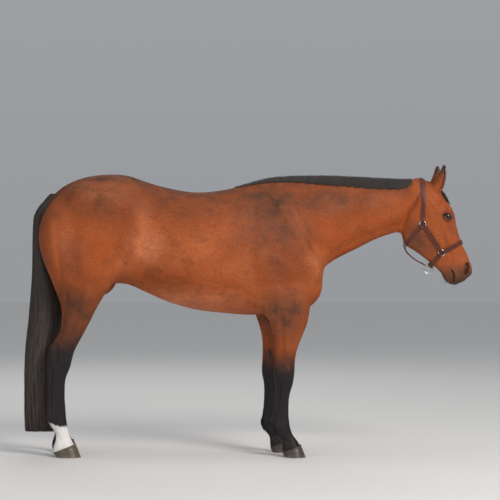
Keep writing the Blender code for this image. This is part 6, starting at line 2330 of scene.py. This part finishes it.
# Where the skin is cut finer: a place on the head, and how far round it.
FINE_NOSTRIL, FINE_LIPS = (0.590, 0.040, 0.045), (0.600, -0.040, 0.0)
EYE_REACH, NOSTRIL_REACH, LIPS_REACH = 0.048, 0.055, 0.060
SEED = 7


def place_piece(obj, slot, *nodes):
    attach(obj, "root")
    if nodes:
        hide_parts(*nodes)


def materials():
    for name in ("coat", "skin"):
        coat_material(name)
    for name in ("long_hair", "lash"):
        hair_material(name)
    bare_material()
    horn_material("horn_dark", *HORN_DARK)
    horn_material("horn_pale", *HORN_PALE)
    leather_material()
    thread_material()
    steel_material()
    eye_material()


def bare_horse(flesh):
    """The skin with its relief, its markings, and its painted shade and sheen."""
    skin = fine_skin(flesh)
    s, f, y = FINE_NOSTRIL
    fine = [(Vector(eye_centre(side)), EYE_REACH) for side, _ in SIDES]
    fine += [(Vector(head_point(s, f, side * y)), NOSTRIL_REACH) for side, _ in SIDES]
    fine += [(Vector(head_point(*FINE_LIPS)), LIPS_REACH)]
    refine(skin, fine)
    sculpt(skin)
    paint(skin, marks(read(skin.data.vertices, "co", 3)), 1.0)
    return wear(skin, "skin")


def main():
    materials()
    flesh = whole_flesh()
    tree = surface_tree(flesh)
    atlas = unwrap_of(flesh)
    skin = bare_horse(flesh)
    bpy.data.objects.remove(flesh)
    place_piece(skin, "coat", *FLESH_NODES)
    rng = np.random.default_rng(SEED)
    for obj in whole_coat(skin, atlas, rng):
        place_piece(obj, "coat")
    for side, word in SIDES:
        place_piece(eyeball(side, word), "eyeball", f"eye_{word}")
        place_piece(lid_rim(side, word), "coat")
        place_piece(lashes(side, word, rng), "long_hair")
        for end, row, back in (("fore", FORE_HOOF, LEFT_FORE_BACK), ("hind", HIND_HOOF, LEFT_HIND_BACK)):
            obj = hoof(f"{end}_hoof_{word}_horn", row, side, back * (side > 0))
            pale = (end, word) == ("hind", "right")
            wear(obj, "horn_pale" if pale else "horn_dark")
            place_piece(obj, "hoof_horn", f"{end}_hoof_{word}")
    place_piece(chestnuts(tree, rng), "hoof_horn")
    place_piece(whiskers(skin, rng), "long_hair")
    grid = mane_grid(tree)
    place_piece(mane(grid, atlas, rng), "long_hair", "mane")
    place_piece(mane_mat(grid), "long_hair")
    place_piece(forelock(tree, atlas, rng), "long_hair", "forelock")
    place_piece(tail_core(), "long_hair", "tail")
    place_piece(tail_locks(atlas, rng, "tail_outer", *TAIL_OUTER), "long_hair")
    place_piece(tail_locks(atlas, rng, "tail_inner", *TAIL_INNER), "long_hair")
    for obj, node, slot in head_collar(tree):
        place_piece(obj, slot, *([node] if node else []))
    stage()


def plain(box):
    return [[float(v) for v in corner] for corner in box]


main()
